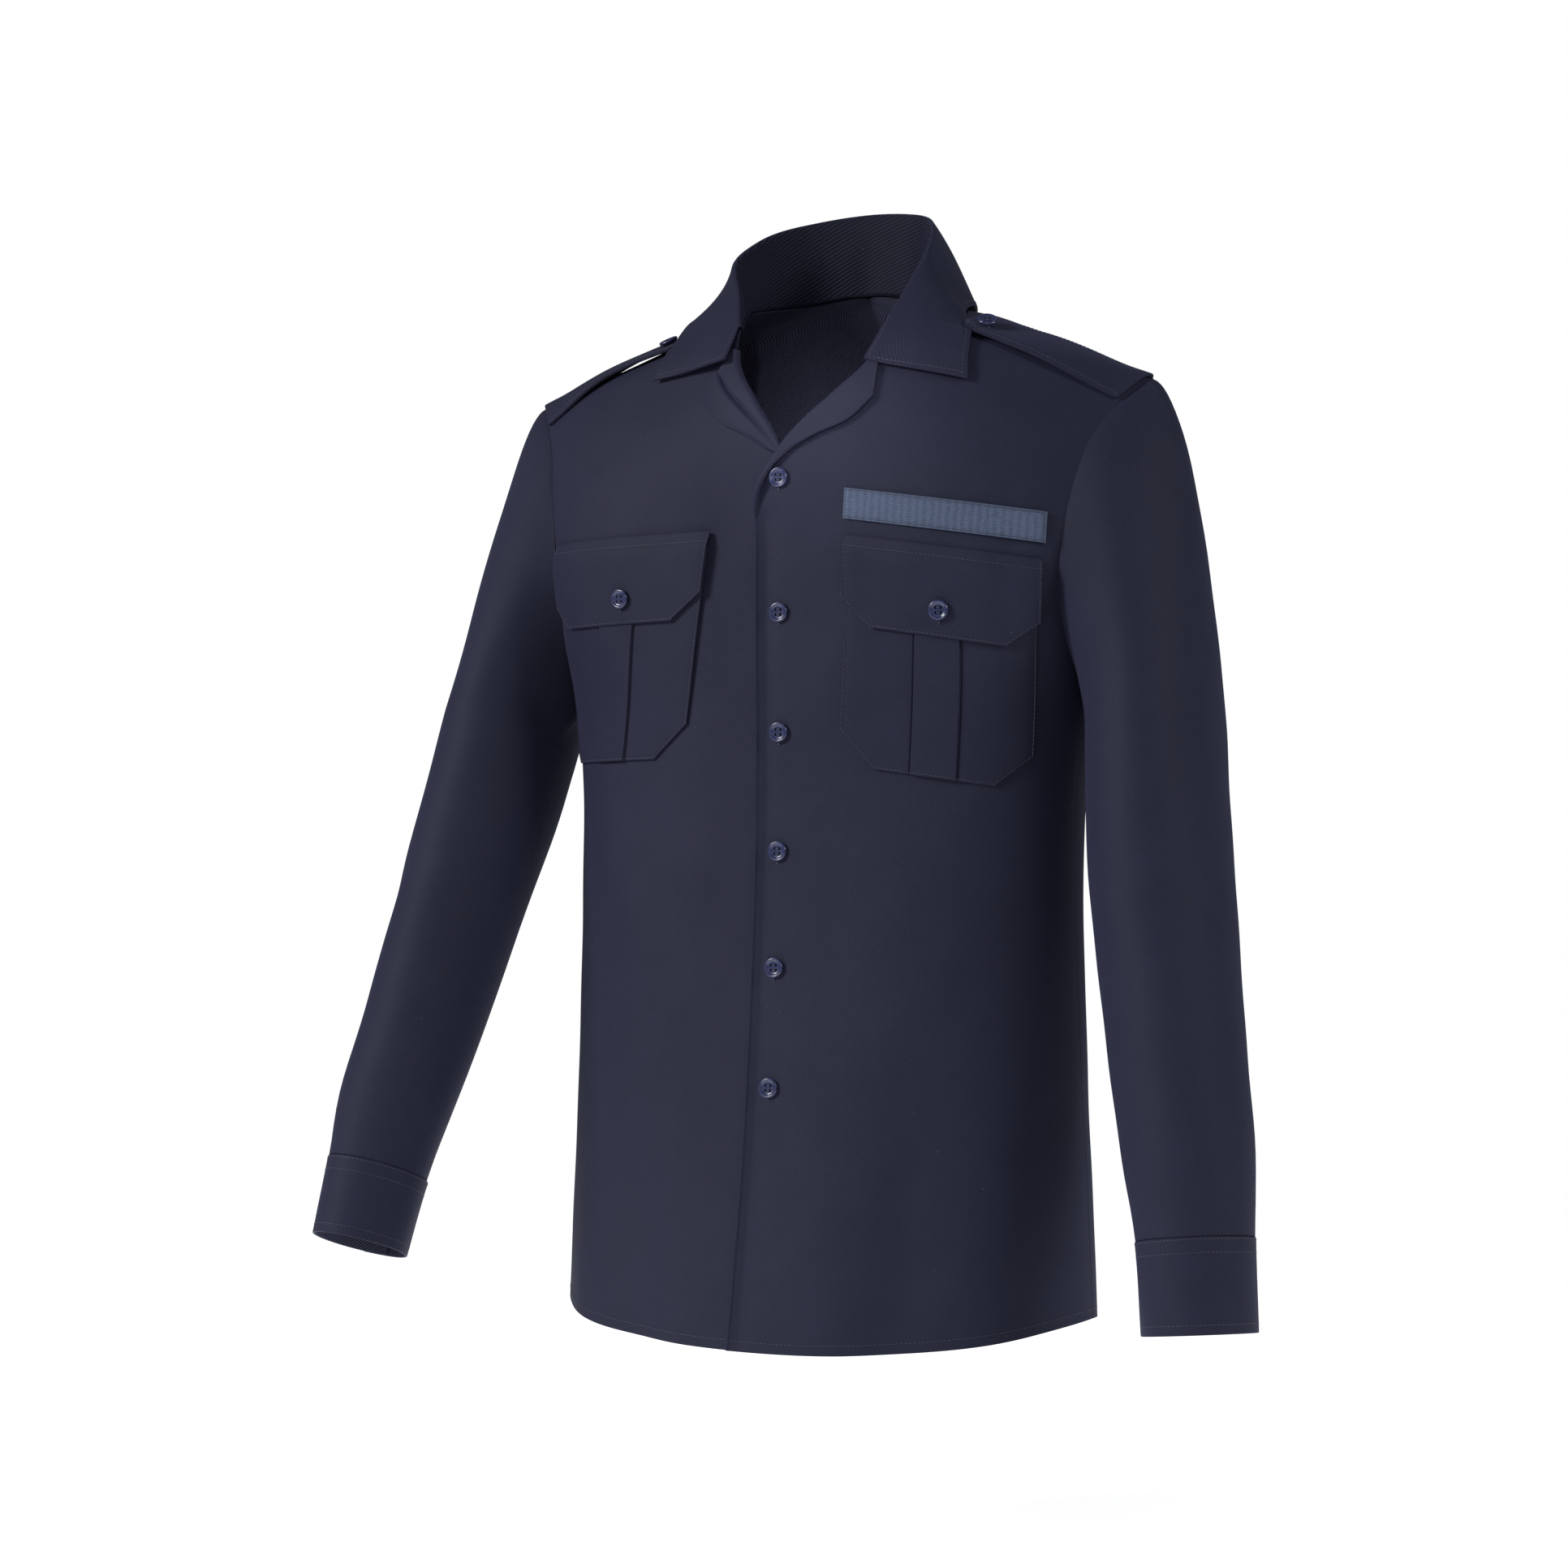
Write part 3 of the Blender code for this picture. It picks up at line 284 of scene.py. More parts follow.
def hermite(keys: Array, values: Array, at: Array) -> Array:
    """Reads a smooth curve through a row of points.

    Args:
        keys: one key for each point, rising.
        values: the points.
        at: the keys to read.

    Returns:
        The curve's points at those keys.
    """
    keys = np.asarray(keys, float)
    values = np.asarray(values, float)
    at = np.clip(np.asarray(at, float), keys[0], keys[-1])
    step = np.diff(keys)[:, None]
    slope = np.diff(values, axis=0) / step
    inner = (slope[:-1] * step[1:] + slope[1:] * step[:-1]) / (step[1:] + step[:-1])
    tangent = np.vstack([slope[:1], inner, slope[-1:]])
    index = np.clip(np.searchsorted(keys, at, side="right") - 1, 0, len(keys) - 2)
    width = step[index]
    t = ((at - keys[index]) / step[index, 0])[:, None]
    start, end = values[index], values[index + 1]
    return cubic(t, start, width * tangent[index], end, width * tangent[index + 1])


def read_rows(keys: Array, rows: Array, at: Array) -> Array:
    """Reads one smooth curve for each place across the rows.

    Args:
        keys: one key for each row.
        rows: rows of points.
        at: the keys to read.

    Returns:
        Points for every key and every place across.
    """
    return np.stack([hermite(keys, rows[:, i], at) for i in range(rows.shape[1])], axis=1)


def smoothstep(low: float, high: float, value: Array | float) -> Array:
    """0 below low, 1 above high, and a soft turn between them."""
    t = np.clip((np.asarray(value, float) - low) / (high - low), 0, 1)
    return t * t * (3 - 2 * t)


def unit(vectors: Array) -> Array:
    """Vectors of length 1."""
    vectors = np.asarray(vectors, float)
    return vectors / np.maximum(np.linalg.norm(vectors, axis=-1, keepdims=True), 1e-12)


def lengths(line: Array) -> Array:
    """Distance along a line of points, from its first point."""
    return np.concatenate([[0], np.cumsum(np.linalg.norm(np.diff(line, axis=0), axis=1))])


def along_line(line: Array, at: Array | float) -> Array:
    """Points at given distances along a line of points."""
    length = lengths(line)
    return np.stack([np.interp(at, length, line[:, i]) for i in range(3)], axis=-1)


def refine(samples: Array, parts: int) -> Array:
    """The same samples with each step cut into equal parts."""
    pieces = [np.linspace(a, b, parts + 1)[:-1] for a, b in zip(samples, samples[1:])]
    return np.concatenate([*pieces, [samples[-1]]])


def shifted(grid: Array, axis: int, amount: float) -> Array:
    """A grid moved along one axis.

    Args:
        grid: rows by columns of points.
        axis: 0, 1 or 2 for x, y or z.
        amount: how far.

    Returns:
        The moved grid.
    """
    grid = np.array(grid)
    grid[..., axis] += amount
    return grid


def grid_normals(grid: Array, outward: Array, closed: bool = False) -> Array:
    """Normals of a grid of points.

    Args:
        grid: rows by columns of points.
        outward: a vector, or one for each point, on the outer side.
        closed: the last column joins the first.

    Returns:
        One unit normal for each point, on the outer side.
    """
    down = np.gradient(grid, axis=0)
    if closed:
        wrapped = np.concatenate([grid[:, -1:], grid, grid[:, :1]], axis=1)
        over = np.gradient(wrapped, axis=1)[:, 1:-1]
    else:
        over = np.gradient(grid, axis=1)
    normal = unit(np.cross(over, down))
    if (normal * outward).sum() < 0:
        normal = -normal
    return normal


def relief(points: Array, normals: Array, creases: Sequence[Crease], mirror: int = 1) -> Array:
    """Pushes points in or out along soft creases.

    Args:
        points: points of the cloth.
        normals: their outward normals.
        creases: the creases.
        mirror: -1 turns the creases to the other side.

    Returns:
        The moved points.
    """
    moved = np.array(points)
    for crease in creases:
        start = np.array(crease.start) * (mirror, 1, 1)
        end = np.array(crease.end) * (mirror, 1, 1)
        way = end - start
        share = ((points - start) @ way) / (way @ way)
        held = np.clip(share, 0, 1)[..., None]
        gap = np.linalg.norm(points - (start + held * way), axis=-1)
        fade = np.sin(math.pi * np.clip(share * 0.8 + 0.1, 0.0, 1.0))
        amount = crease.depth * np.exp(-((gap / crease.half_width) ** 2)) * fade
        moved += normals * amount[..., None]
    return moved


def ripple(points: Array, normals: Array, height: float) -> Array:
    """Gives cloth a faint unevenness.

    Args:
        points: points of the cloth.
        normals: their outward normals.
        height: the largest rise.

    Returns:
        The moved points.
    """
    x, y, z = np.moveaxis(points, -1, 0)
    wave = (
        np.sin(x * 61 + np.sin(z * 23) * 1.7 + 0.6)
        + np.sin(z * 47 + x * 31 + np.sin(y * 39) * 1.3)
        + 0.6 * np.sin(x * 113 - z * 83 + 1.1)
    )
    return points + normals * (wave * height / 2.6)[..., None]


class ShirtBody:
    """The form of the shirt's body, which every panel and patch is read from."""

    droop: float = 0.0008
    droop_across: tuple[float, float] = (0.06, 0.20)
    droop_up: tuple[float, float] = (-0.40, -0.10)
    neck_shift: float = 0.010
    shift_across: tuple[float, float] = (0.080, 0.170)
    shift_deep: tuple[float, float] = (0.0, 0.060)
    shift_up: tuple[float, float] = (-0.125, -0.06)

    def __init__(self) -> None:
        """Reads both halves of both faces, and the outer surface that the collar lies on."""
        self.halves = {(face, side): Half(self, face, side) for face in Face for side in Side}
        self.tree = self.outer_surface()

    def worn(self, points: Array) -> Array:
        """The shirt as it hangs, with its open neck a little to the left.

        Args:
            points: points of the even shirt.

        Returns:
            The points as worn.
        """
        points = np.array(points, float)
        x, y, z = np.moveaxis(points.copy(), -1, 0)
        side = smoothstep(*self.droop_across, np.abs(x)) * np.sign(x)
        points[..., 2] -= self.droop * side * smoothstep(*self.droop_up, z)
        near_neck = smoothstep(*self.shift_deep, -y) * (1 - smoothstep(*self.shift_across, np.abs(x)))
        points[..., 0] += self.neck_shift * near_neck * smoothstep(*self.shift_up, z)
        return points

    def outer_surface(self) -> BVHTree:
        """The body's outer surface as one search tree.

        Returns:
            The search tree.
        """
        points: list = []
        faces: list = []
        for half in self.halves.values():
            grid = half.grid(np.linspace(0, 1, 25), np.linspace(0, 1, 61))
            rows, columns = grid.shape[:2]
            base = len(points)
            points.extend(grid.reshape(-1, 3).tolist())
            flip = (half.face is Face.FRONT) == (half.side is Side.LEFT)
            for i in range(rows - 1):
                for j in range(columns - 1):
                    a = base + i * columns + j
                    quad = (a, a + 1, a + columns + 1, a + columns)
                    faces.append(quad if flip else quad[::-1])
        return BVHTree.FromPolygons(points, faces)


class Half:
    """One half of the front or the back, read by (across, along) from 0 to 1."""

    def __init__(self, body: ShirtBody, face: Face, side: Side) -> None:
        """Keeps the half's keys and a dense reading of its surface.

        Args:
            body: the shirt.
            face: front or back.
            side: the wearer's left or right.
        """
        self.body = body
        self.face = face
        self.side = side
        middle = np.array([self.row_points(row, [0.6])[0] for row in BODY_ROWS])
        self.keys = lengths(middle) / lengths(middle)[-1]
        self.dense = self.grid(np.linspace(0, 1, 61), np.linspace(0, 1, 241))
        self.heights = np.maximum.accumulate(self.dense[..., 2], axis=0)

    def row_points(self, row: BodyRow, across: Sequence[float]) -> Array:
        """Points of one row, from the centre line or neckline at 0 to the side at 1.

        Args:
            row: the row.
            across: places across, from 0 at the centre line or neckline to 1 at the side.

        Returns:
            The points, one for each place across.
        """
        front = self.face is Face.FRONT
        inner = row.front_inner_x if front else row.back_inner_x
        side_y = row.front_side_y if front else row.back_side_y
        mid_y = row.front_y if front else row.back_y
        mid_z = row.front_z if front else row.back_z
        turn = math.radians(row.front_turn if front else row.back_turn)
        power = 2 / row.fullness
        full = math.sin(turn) ** power
        start = math.copysign(math.asin(min(abs(inner) / row.half_width * full, 1) ** (1 / power)), inner)
        angle = start + (turn - start) * np.asarray(across, float)
        share = np.sign(angle) * np.abs(np.sin(angle)) ** power / full
        end = abs(math.cos(turn)) ** power if turn < math.pi / 2 - 1e-6 else 0.0
        y = side_y + (mid_y - side_y) * (np.abs(np.cos(angle)) ** power - end) / (1 - end)
        z = row.level + (mid_z - row.level) * (1 - np.abs(share) ** row.rise)
        return np.stack([row.half_width * share, y, z], axis=-1)

    def grid(self, across: Sequence[float], along: Sequence[float]) -> Array:
        """Points for every along (first axis) and across (second axis).

        Args:
            across: places across, from 0 at the centre line or neckline to 1 at the side.
            along: places along, from 0 at the hem to 1 at the shoulder.

        Returns:
            The points, rows by columns.
        """
        rows = np.array([self.row_points(row, across) for row in BODY_ROWS])
        smooth = read_rows(self.keys, rows, along)
        split = self.keys[ARMPIT_ROW]
        lower = read_rows(self.keys[: ARMPIT_ROW + 1], rows[: ARMPIT_ROW + 1], along)
        upper = read_rows(self.keys[ARMPIT_ROW:], rows[ARMPIT_ROW:], along)
        parted = np.where((np.asarray(along) <= split)[:, None, None], lower, upper)
        side = smoothstep(0.6, 1.0, across)[None, :, None]
        points = self.folded(smooth * (1 - side) + parted * side, across)
        points[..., 0] *= self.side.value
        return self.body.worn(points)

    def folded(self, points: Array, across: Sequence[float]) -> Array:
        """The same points with the half's largest folds pushed in or out.

        Args:
            points: rows by columns of points.
            across: places across, from 0 at the centre line or neckline to 1 at the side.

        Returns:
            The moved points.
        """
        places = np.broadcast_to(np.asarray(across, float), points.shape[:2])
        reach = BODY_ROWS[3].half_width * math.pi / 2
        outward = unit(points * np.array([0.35, 1.0, 0.0]))
        for fold in FOLDS:
            if fold.face is not self.face or fold.side not in (0, self.side.value):
                continue
            sign = self.side.value if fold.side == 0 else 1
            share = np.clip((points[..., 2] - fold.z_1) / (fold.z_2 - fold.z_1), 0, 1)
            centre = (fold.across_1 + (fold.across_2 - fold.across_1) * share) * sign
            distance = (places - centre) * reach
            fade = 1 - smoothstep(0.0, 0.9, (points[..., 2] - fold.z_1) / (fold.z_2 - fold.z_1))
            amount = fold.depth * fade * np.exp(-((distance / fold.half_width) ** 2) * 2)
            points = points + outward * amount[..., None]
        return points

    def samples(self, parts: int = 1) -> Array:
        """Places of the rows: even to the armpit, the break, the gorge and the shoulder.

        Args:
            parts: into how many each step is parted.

        Returns:
            The places, from 0 to 1.
        """
        stops = [0, self.keys[ARMPIT_ROW], self.keys[BREAK_ROW], self.keys[GORGE_ROW], 1]
        rows = [np.linspace(a, b, n + 1)[:-1] for a, b, n in zip(stops, stops[1:], ALONG_COUNTS)]
        return refine(np.concatenate([*rows, [1.0]]), parts)

    def slice_at(self, z: float) -> Array:
        """Points of the surface at one height, from the inner boundary to the side.

        Args:
            z: the height.

        Returns:
            The points.
        """
        columns = np.arange(self.heights.shape[1])
        low = np.clip((self.heights < z).sum(axis=0) - 1, 0, len(self.heights) - 2)
        below, above = self.dense[low, columns], self.dense[low + 1, columns]
        gap = self.heights[low + 1, columns] - self.heights[low, columns]
        share = np.clip((z - self.heights[low, columns]) / np.maximum(gap, 1e-9), 0, 1)[:, None]
        points = below + (above - below) * share
        inside = (self.dense[0, :, 2] <= z) & (z <= self.dense[-1, :, 2])
        points = points[inside]
        points[:, 2] = z
        return points

    def place(self, distance: float, z: float, start_x: float | None = None) -> Array:
        """The surface's point at a height, a distance along the cloth from |x| = start_x.

        Args:
            distance: how far towards the side.
            z: the height.
            start_x: where the distance starts; without it the distance is |x| itself.

        Returns:
            The point.
        """
        points = self.slice_at(z)
        length = lengths(points)
        if start_x is None:
            at = np.interp(distance, points[:, 0] * self.side.value, length)
        else:
            at = np.interp(start_x, points[:, 0] * self.side.value, length) + distance
        return np.array([np.interp(at, length, points[:, i]) for i in range(3)])

    def normal(self, point: Array) -> Array:
        """Outward normal of the dense surface nearest to a point.

        Args:
            point: the point.

        Returns:
            The normal.
        """
        gap = np.linalg.norm(self.dense - point, axis=-1)
        row, column = np.unravel_index(np.argmin(gap), gap.shape)
        row = min(max(row, 1), self.dense.shape[0] - 2)
        column = min(max(column, 1), self.dense.shape[1] - 2)
        along = self.dense[row + 1, column] - self.dense[row - 1, column]
        across = self.dense[row, column + 1] - self.dense[row, column - 1]
        normal = unit(np.cross(across, along))
        outward = np.array([0.0, -1.0 if self.face is Face.FRONT else 1.0, 0.4])
        return normal if normal @ outward > 0 else -normal


def under_offset(grid: Array, depth: float) -> Array:
    """Moves the centre front inwards, where it lies under the other front.

    Args:
        grid: rows by columns of points.
        depth: how far inwards.

    Returns:
        The moved grid.
    """
    near = 1 - smoothstep(*UNDERLAP_ACROSS, np.abs(grid[..., 0]))
    low = 1 - smoothstep(*UNDERLAP_TOP, grid[..., 2])
    moved = np.array(grid)
    moved[..., 1] += depth * near * low
    return moved


def new_object(name: str, data: bpy.types.ID) -> bpy.types.Object:
    """A new object in the scene.

    Args:
        name: its name.
        data: its mesh, light or camera.

    Returns:
        The object.
    """
    piece = bpy.data.objects.new(name, data)
    bpy.context.scene.collection.objects.link(piece)
    return piece


def mesh_of(work: bmesh.types.BMesh, name: str) -> bpy.types.Mesh:
    """A finished bmesh as a mesh.

    Args:
        work: the bmesh, which is freed.
        name: the mesh's name.

    Returns:
        The mesh.
    """
    mesh = bpy.data.meshes.new(name)
    work.to_mesh(mesh)
    work.free()
    return mesh


def loft(work: bmesh.types.BMesh, rings: Iterable[Iterable[Sequence[float]]]) -> None:
    """Adds a closed solid through a row of rings of points, with flat ends.

    Args:
        work: the bmesh that takes it.
        rings: rings of points, all with the same count.
    """
    made = [[work.verts.new(point) for point in ring] for ring in rings]
    for low, high in zip(made, made[1:]):
        for i in range(len(low)):
            k = (i + 1) % len(low)
            work.faces.new((low[i], low[k], high[k], high[i]))
    work.faces.new(made[0][::-1])
    work.faces.new(made[-1])


def add_node(nodes: bpy.types.Nodes, kind: str, values: Values | None = None, **settings: object) -> Node:
    """Adds a node.

    Args:
        nodes: the tree's nodes.
        kind: the node's type.
        values: what its open inputs are set to.
        settings: what its own settings are set to.

    Returns:
        The node.
    """
    node = nodes.new(kind)
    for key, value in settings.items():
        setattr(node, key, value)
    for key, value in (values or {}).items():
        node.inputs[key].default_value = value
    return node


class NodeTree:
    """A material's nodes, with short ways to add the usual ones."""

    def __init__(self, name: str) -> None:
        """Makes a new material with its shader.

        Args:
            name: the material's name.
        """
        self.material = bpy.data.materials.new(name)
        self.material.use_nodes = True
        self.nodes = self.material.node_tree.nodes
        self.shader = self.nodes["Principled BSDF"]

    def add(self, kind: str, values: Values | None = None, **settings: object) -> Node:
        """Adds a node with its values and settings."""
        return add_node(self.nodes, kind, values, **settings)

    def link(self, source: Socket, target: Socket) -> None:
        """Joins two sockets."""
        self.material.node_tree.links.new(source, target)

    def place(self) -> Socket:
        """Object coordinates."""
        return self.add("ShaderNodeTexCoord").outputs["Object"]

    def cloth_map(self) -> Socket:
        """The cloth's own map, in metres along and across the piece."""
        return self.add("ShaderNodeUVMap", uv_map=CLOTH_UV).outputs["UV"]

    def noise(self, vector: Socket, scale: float, detail: float) -> Socket:
        """Noise on a vector.

        Args:
            vector: its coordinates.
            scale: how fine it is.
            detail: how many finer layers it has.

        Returns:
            The noise from 0 to 1.
        """
        node = self.add("ShaderNodeTexNoise", {"Scale": scale, "Detail": detail})
        self.link(vector, node.inputs["Vector"])
        return node.outputs["Fac"]

    def bands(
        self,
        vector: Socket,
        period: float,
        direction: str = "X",
        distortion: float = 0.6,
        detail: float = 1.0,
        detail_scale: float = 0.4,
    ) -> Socket:
        """Soft bands across a vector.

        Args:
            vector: the coordinates in metres.
            period: the distance from band to band.
            direction: the axis that the bands cross.
            distortion: how far they waver.
            detail: how fine the wavering is.
            detail_scale: its scale.

        Returns:
            A value from 0 to 1.
        """
        values = {"Scale": math.pi / 10 / period, "Distortion": distortion, "Detail": detail}
        values["Detail Scale"] = detail_scale
        settings = {"wave_type": "BANDS", "bands_direction": direction, "wave_profile": "SIN"}
        node = self.add("ShaderNodeTexWave", values, **settings)
        self.link(vector, node.inputs["Vector"])
        return node.outputs["Fac"]

    def ramp(self, value: Socket, low: float, high: float, at_low: float, at_high: float) -> Socket:
        """A smooth change between two levels as a value goes from low to high.

        Args:
            value: the value.
            low: where the change starts.
            high: where it ends.
            at_low: the level before it.
            at_high: the level after it.

        Returns:
            The level.
        """
        values = {"From Min": low, "From Max": high, "To Min": at_low, "To Max": at_high}
        node = self.add("ShaderNodeMapRange", values, interpolation_type="SMOOTHSTEP")
        self.link(value, node.inputs["Value"])
        return node.outputs["Result"]

    def spread(self, value: Socket, low: float, high: float) -> Socket:
        """A value from 0 to 1 spread between two numbers.

        Args:
            value: the value.
            low: the lower number.
            high: the higher number.

        Returns:
            The spread value.
        """
        node = self.add("ShaderNodeMapRange", {"To Min": low, "To Max": high})
        self.link(value, node.inputs["Value"])
        return node.outputs["Result"]

    def maths(self, kind: str, *values: Socket) -> Socket:
        """Two values added or multiplied.

        Args:
            kind: ADD, MULTIPLY or another operation.
            *values: the values.

        Returns:
            The result.
        """
        node = self.add("ShaderNodeMath", operation=kind)
        for value, entry in zip(values, node.inputs):
            self.link(value, entry)
        return node.outputs[0]

    def tinted(self, colour: tuple[float, float, float], tone: Socket) -> Socket:
        """A colour made lighter and darker by a tone around 1.

        Args:
            colour: the colour.
            tone: how light it becomes.

        Returns:
            The new colour.
        """
        values = {"Factor": 1.0, COLOUR_A: (*colour, 1)}
        node = self.add("ShaderNodeMix", values, data_type="RGBA", blend_type="MULTIPLY")
        self.link(tone, node.inputs[COLOUR_B])
        return node.outputs[MIXED]

    def bump(self, height: Socket, strength: float, distance: float, under: Socket | None = None) -> Socket:
        """A bump from a height, over another bump if there is one.

        Args:
            height: the height.
            strength: its share.
            distance: the height that 1 stands for.
            under: the other bump.

        Returns:
            The normal.
        """
        node = self.add("ShaderNodeBump", {"Strength": strength, "Distance": distance})
        self.link(height, node.inputs["Height"])
        if under is not None:
            self.link(under, node.inputs["Normal"])
        return node.outputs["Normal"]

    def finish(self, values: Values, colour: Socket | None = None, normal: Socket | None = None) -> Material:
        """Sets the shader.

        Args:
            values: what its inputs are set to.
            colour: the base colour, where nodes make it.
            normal: the bumps, where there are any.

        Returns:
            The finished material.
        """
        for name, value in values.items():
            self.shader.inputs[name].default_value = value
        for source, name in ((colour, "Base Color"), (normal, "Normal")):
            if source is not None:
                self.link(source, self.shader.inputs[name])
        return self.material


@dataclass(frozen=True)
class Twill:
    """Fine twill cloth: diagonal ribs, a soft sheen, faint mottling and a few specks of lint."""

    name: str
    colour: tuple[float, float, float] = (0.0160, 0.0170, 0.0345)
    rib: float = 0.0012
    rib_angle: float = math.radians(55)
    rib_depth: float = 0.30
    rib_contrast: float = 0.24
    roughness: float = 0.60
    sheen: float = 0.06
    sheen_roughness: float = 0.45
    sheen_tint: tuple[float, float, float, float] = (0.45, 0.50, 0.95, 1)
    specular: float = 0.10
    yarn_scale: float = 1500.0
    yarn_share: float = 0.35
    slub_scale: float = 42.0
    slub_tone: float = 0.10
    cloud_scale: float = 9.0
    cloud_tone: float = 0.13
    lint_scale: float = 75.0
    lint_size: tuple[float, float] = (0.018, 0.030)
    lint_rare: tuple[float, float] = (0.56, 0.60)
    lint_share: float = 0.45
    lint_colour: tuple[float, float, float, float] = (0.16, 0.17, 0.20, 1)

    def build(self) -> Material:
        """Makes the material.

        Returns:
            The material.
        """
        tree = NodeTree(self.name)
        uv = tree.cloth_map()
        place = tree.place()
        turned = tree.add("ShaderNodeMapping", {"Rotation": (0, 0, self.rib_angle)})
        tree.link(uv, turned.inputs["Vector"])
        ribs = tree.bands(turned.outputs["Vector"], self.rib)
        yarn = tree.noise(uv, self.yarn_scale, 2.0)
        slub = tree.noise(place, self.slub_scale, 3.0)
        cloud = tree.noise(place, self.cloud_scale, 2.0)
        specks = {"Scale": self.lint_scale}
        lint = tree.add("ShaderNodeTexVoronoi", specks, feature="F1", distance="EUCLIDEAN")
        tree.link(place, lint.inputs["Vector"])
        speck = tree.ramp(lint.outputs["Distance"], *self.lint_size, 1.0, 0.0)
        rare = tree.ramp(tree.noise(place, 23.0, 1.0), *self.lint_rare, 0.0, self.lint_share)
        mottled = tree.maths(
            "ADD",
            tree.spread(slub, -self.slub_tone, self.slub_tone),
            tree.spread(cloud, -self.cloud_tone, self.cloud_tone),
        )
        tone = tree.maths("ADD", tree.spread(ribs, 1 - self.rib_contrast, 1 + self.rib_contrast), mottled)
        fleck = tree.add("ShaderNodeMix", {COLOUR_B: self.lint_colour}, data_type="RGBA")
        tree.link(tree.maths("MULTIPLY", speck, rare), fleck.inputs["Factor"])
        tree.link(tree.tinted(self.colour, tone), fleck.inputs[COLOUR_A])
        weave = tree.maths("ADD", ribs, tree.spread(yarn, -self.yarn_share, self.yarn_share))
        fine = tree.bump(weave, self.rib_depth, self.rib * 0.25)
        values = {
            "Roughness": self.roughness,
            "Sheen Weight": self.sheen,
            "Sheen Roughness": self.sheen_roughness,
            "Sheen Tint": self.sheen_tint,
            "Specular IOR Level": self.specular,
        }
        return tree.finish(values, fleck.outputs[MIXED], tree.bump(slub, 0.10, 0.004, fine))


@dataclass(frozen=True)
class LoopPile:
    """The knitted loop face of the name strip."""

    name: str = "loop_pile"
    colour: tuple[float, float, float] = (0.062, 0.082, 0.136)
    column_pitch: float = 0.0052
    row_pitch: float = 0.0016
    zigzag: float = 1.6
    wave_tone: float = 0.12
    grain_scale: float = 900.0
    grain_tone: float = 0.40

    def build(self) -> Material:
        """Makes the material.

        Returns:
            The material.
        """
        tree = NodeTree(self.name)
        grain = tree.noise(tree.place(), self.grain_scale, 2.0)
        uv = tree.cloth_map()
        waves = []
        for direction, period in (("X", self.column_pitch), ("Y", self.row_pitch)):
            wave = tree.bands(uv, period, direction, self.zigzag, 2.0, 2.0)
            waves.append(tree.spread(wave, -self.wave_tone, self.wave_tone))
        grained = tree.spread(grain, 1 - self.grain_tone, 1 + self.grain_tone)
        tone = tree.maths("ADD", grained, tree.maths("ADD", *waves))
        values = {"Roughness": 0.75, "Sheen Weight": 0.12, "Sheen Roughness": 0.4, "Specular IOR Level": 0.2}
        return tree.finish(values, tree.tinted(self.colour, tone), tree.bump(grain, 0.5, 0.0003))


@dataclass(frozen=True)
class Thread:
    """Sewing thread, a little lighter than the cloth."""

    name: str = "thread"
    colour: tuple[float, float, float] = (0.027, 0.030, 0.056)
    ply_scale: float = 2400.0
    ply_tone: float = 0.25

    def build(self) -> Material:
        """Makes the material.

        Returns:
            The material.
        """
        tree = NodeTree(self.name)
        ply = tree.noise(tree.place(), self.ply_scale, 1.0)
        colour = tree.tinted(self.colour, tree.spread(ply, 1 - self.ply_tone, 1 + self.ply_tone))
        return tree.finish({"Roughness": 0.55, "Sheen Weight": 0.2}, colour, tree.bump(ply, 0.4, 0.0001))


@dataclass(frozen=True)
class ButtonResin:
    """Glossy navy resin with a faint cloudiness and fine scuffs."""

    name: str = "button_resin"
    colour: tuple[float, float, float] = (0.022, 0.026, 0.075)
    cloud_scale: float = 260.0
    cloud_tone: tuple[float, float] = (0.7, 1.4)
    scuff_scale: float = 1400.0
    roughness: tuple[float, float] = (0.16, 0.30)
    specular: float = 0.6

    def build(self) -> Material:
        """Makes the material.

        Returns:
            The material.
        """
        tree = NodeTree(self.name)
        place = tree.place()
        cloud = tree.noise(place, self.cloud_scale, 3.0)
        scuff = tree.noise(place, self.scuff_scale, 2.0)
        colour = tree.tinted(self.colour, tree.spread(cloud, *self.cloud_tone))
        tree.link(tree.spread(scuff, *self.roughness), tree.shader.inputs["Roughness"])
        return tree.finish({"Specular IOR Level": self.specular}, colour, tree.bump(scuff, 0.06, 0.0001))


@dataclass(frozen=True)
class PaleFloor:
    """The studio's plain pale floor."""

    name: str = "pale_floor"
    grey: float = 0.90
    roughness: float = 0.9
    glow: float = 0.70

    def build(self) -> Material:
        """Makes the material.

        Returns:
            The material.
        """
        values = {"Base Color": (self.grey, self.grey, self.grey, 1), "Roughness": self.roughness}
        values |= {"Emission Color": (1, 1, 1, 1), "Emission Strength": self.glow}
        return NodeTree(self.name).finish(values)


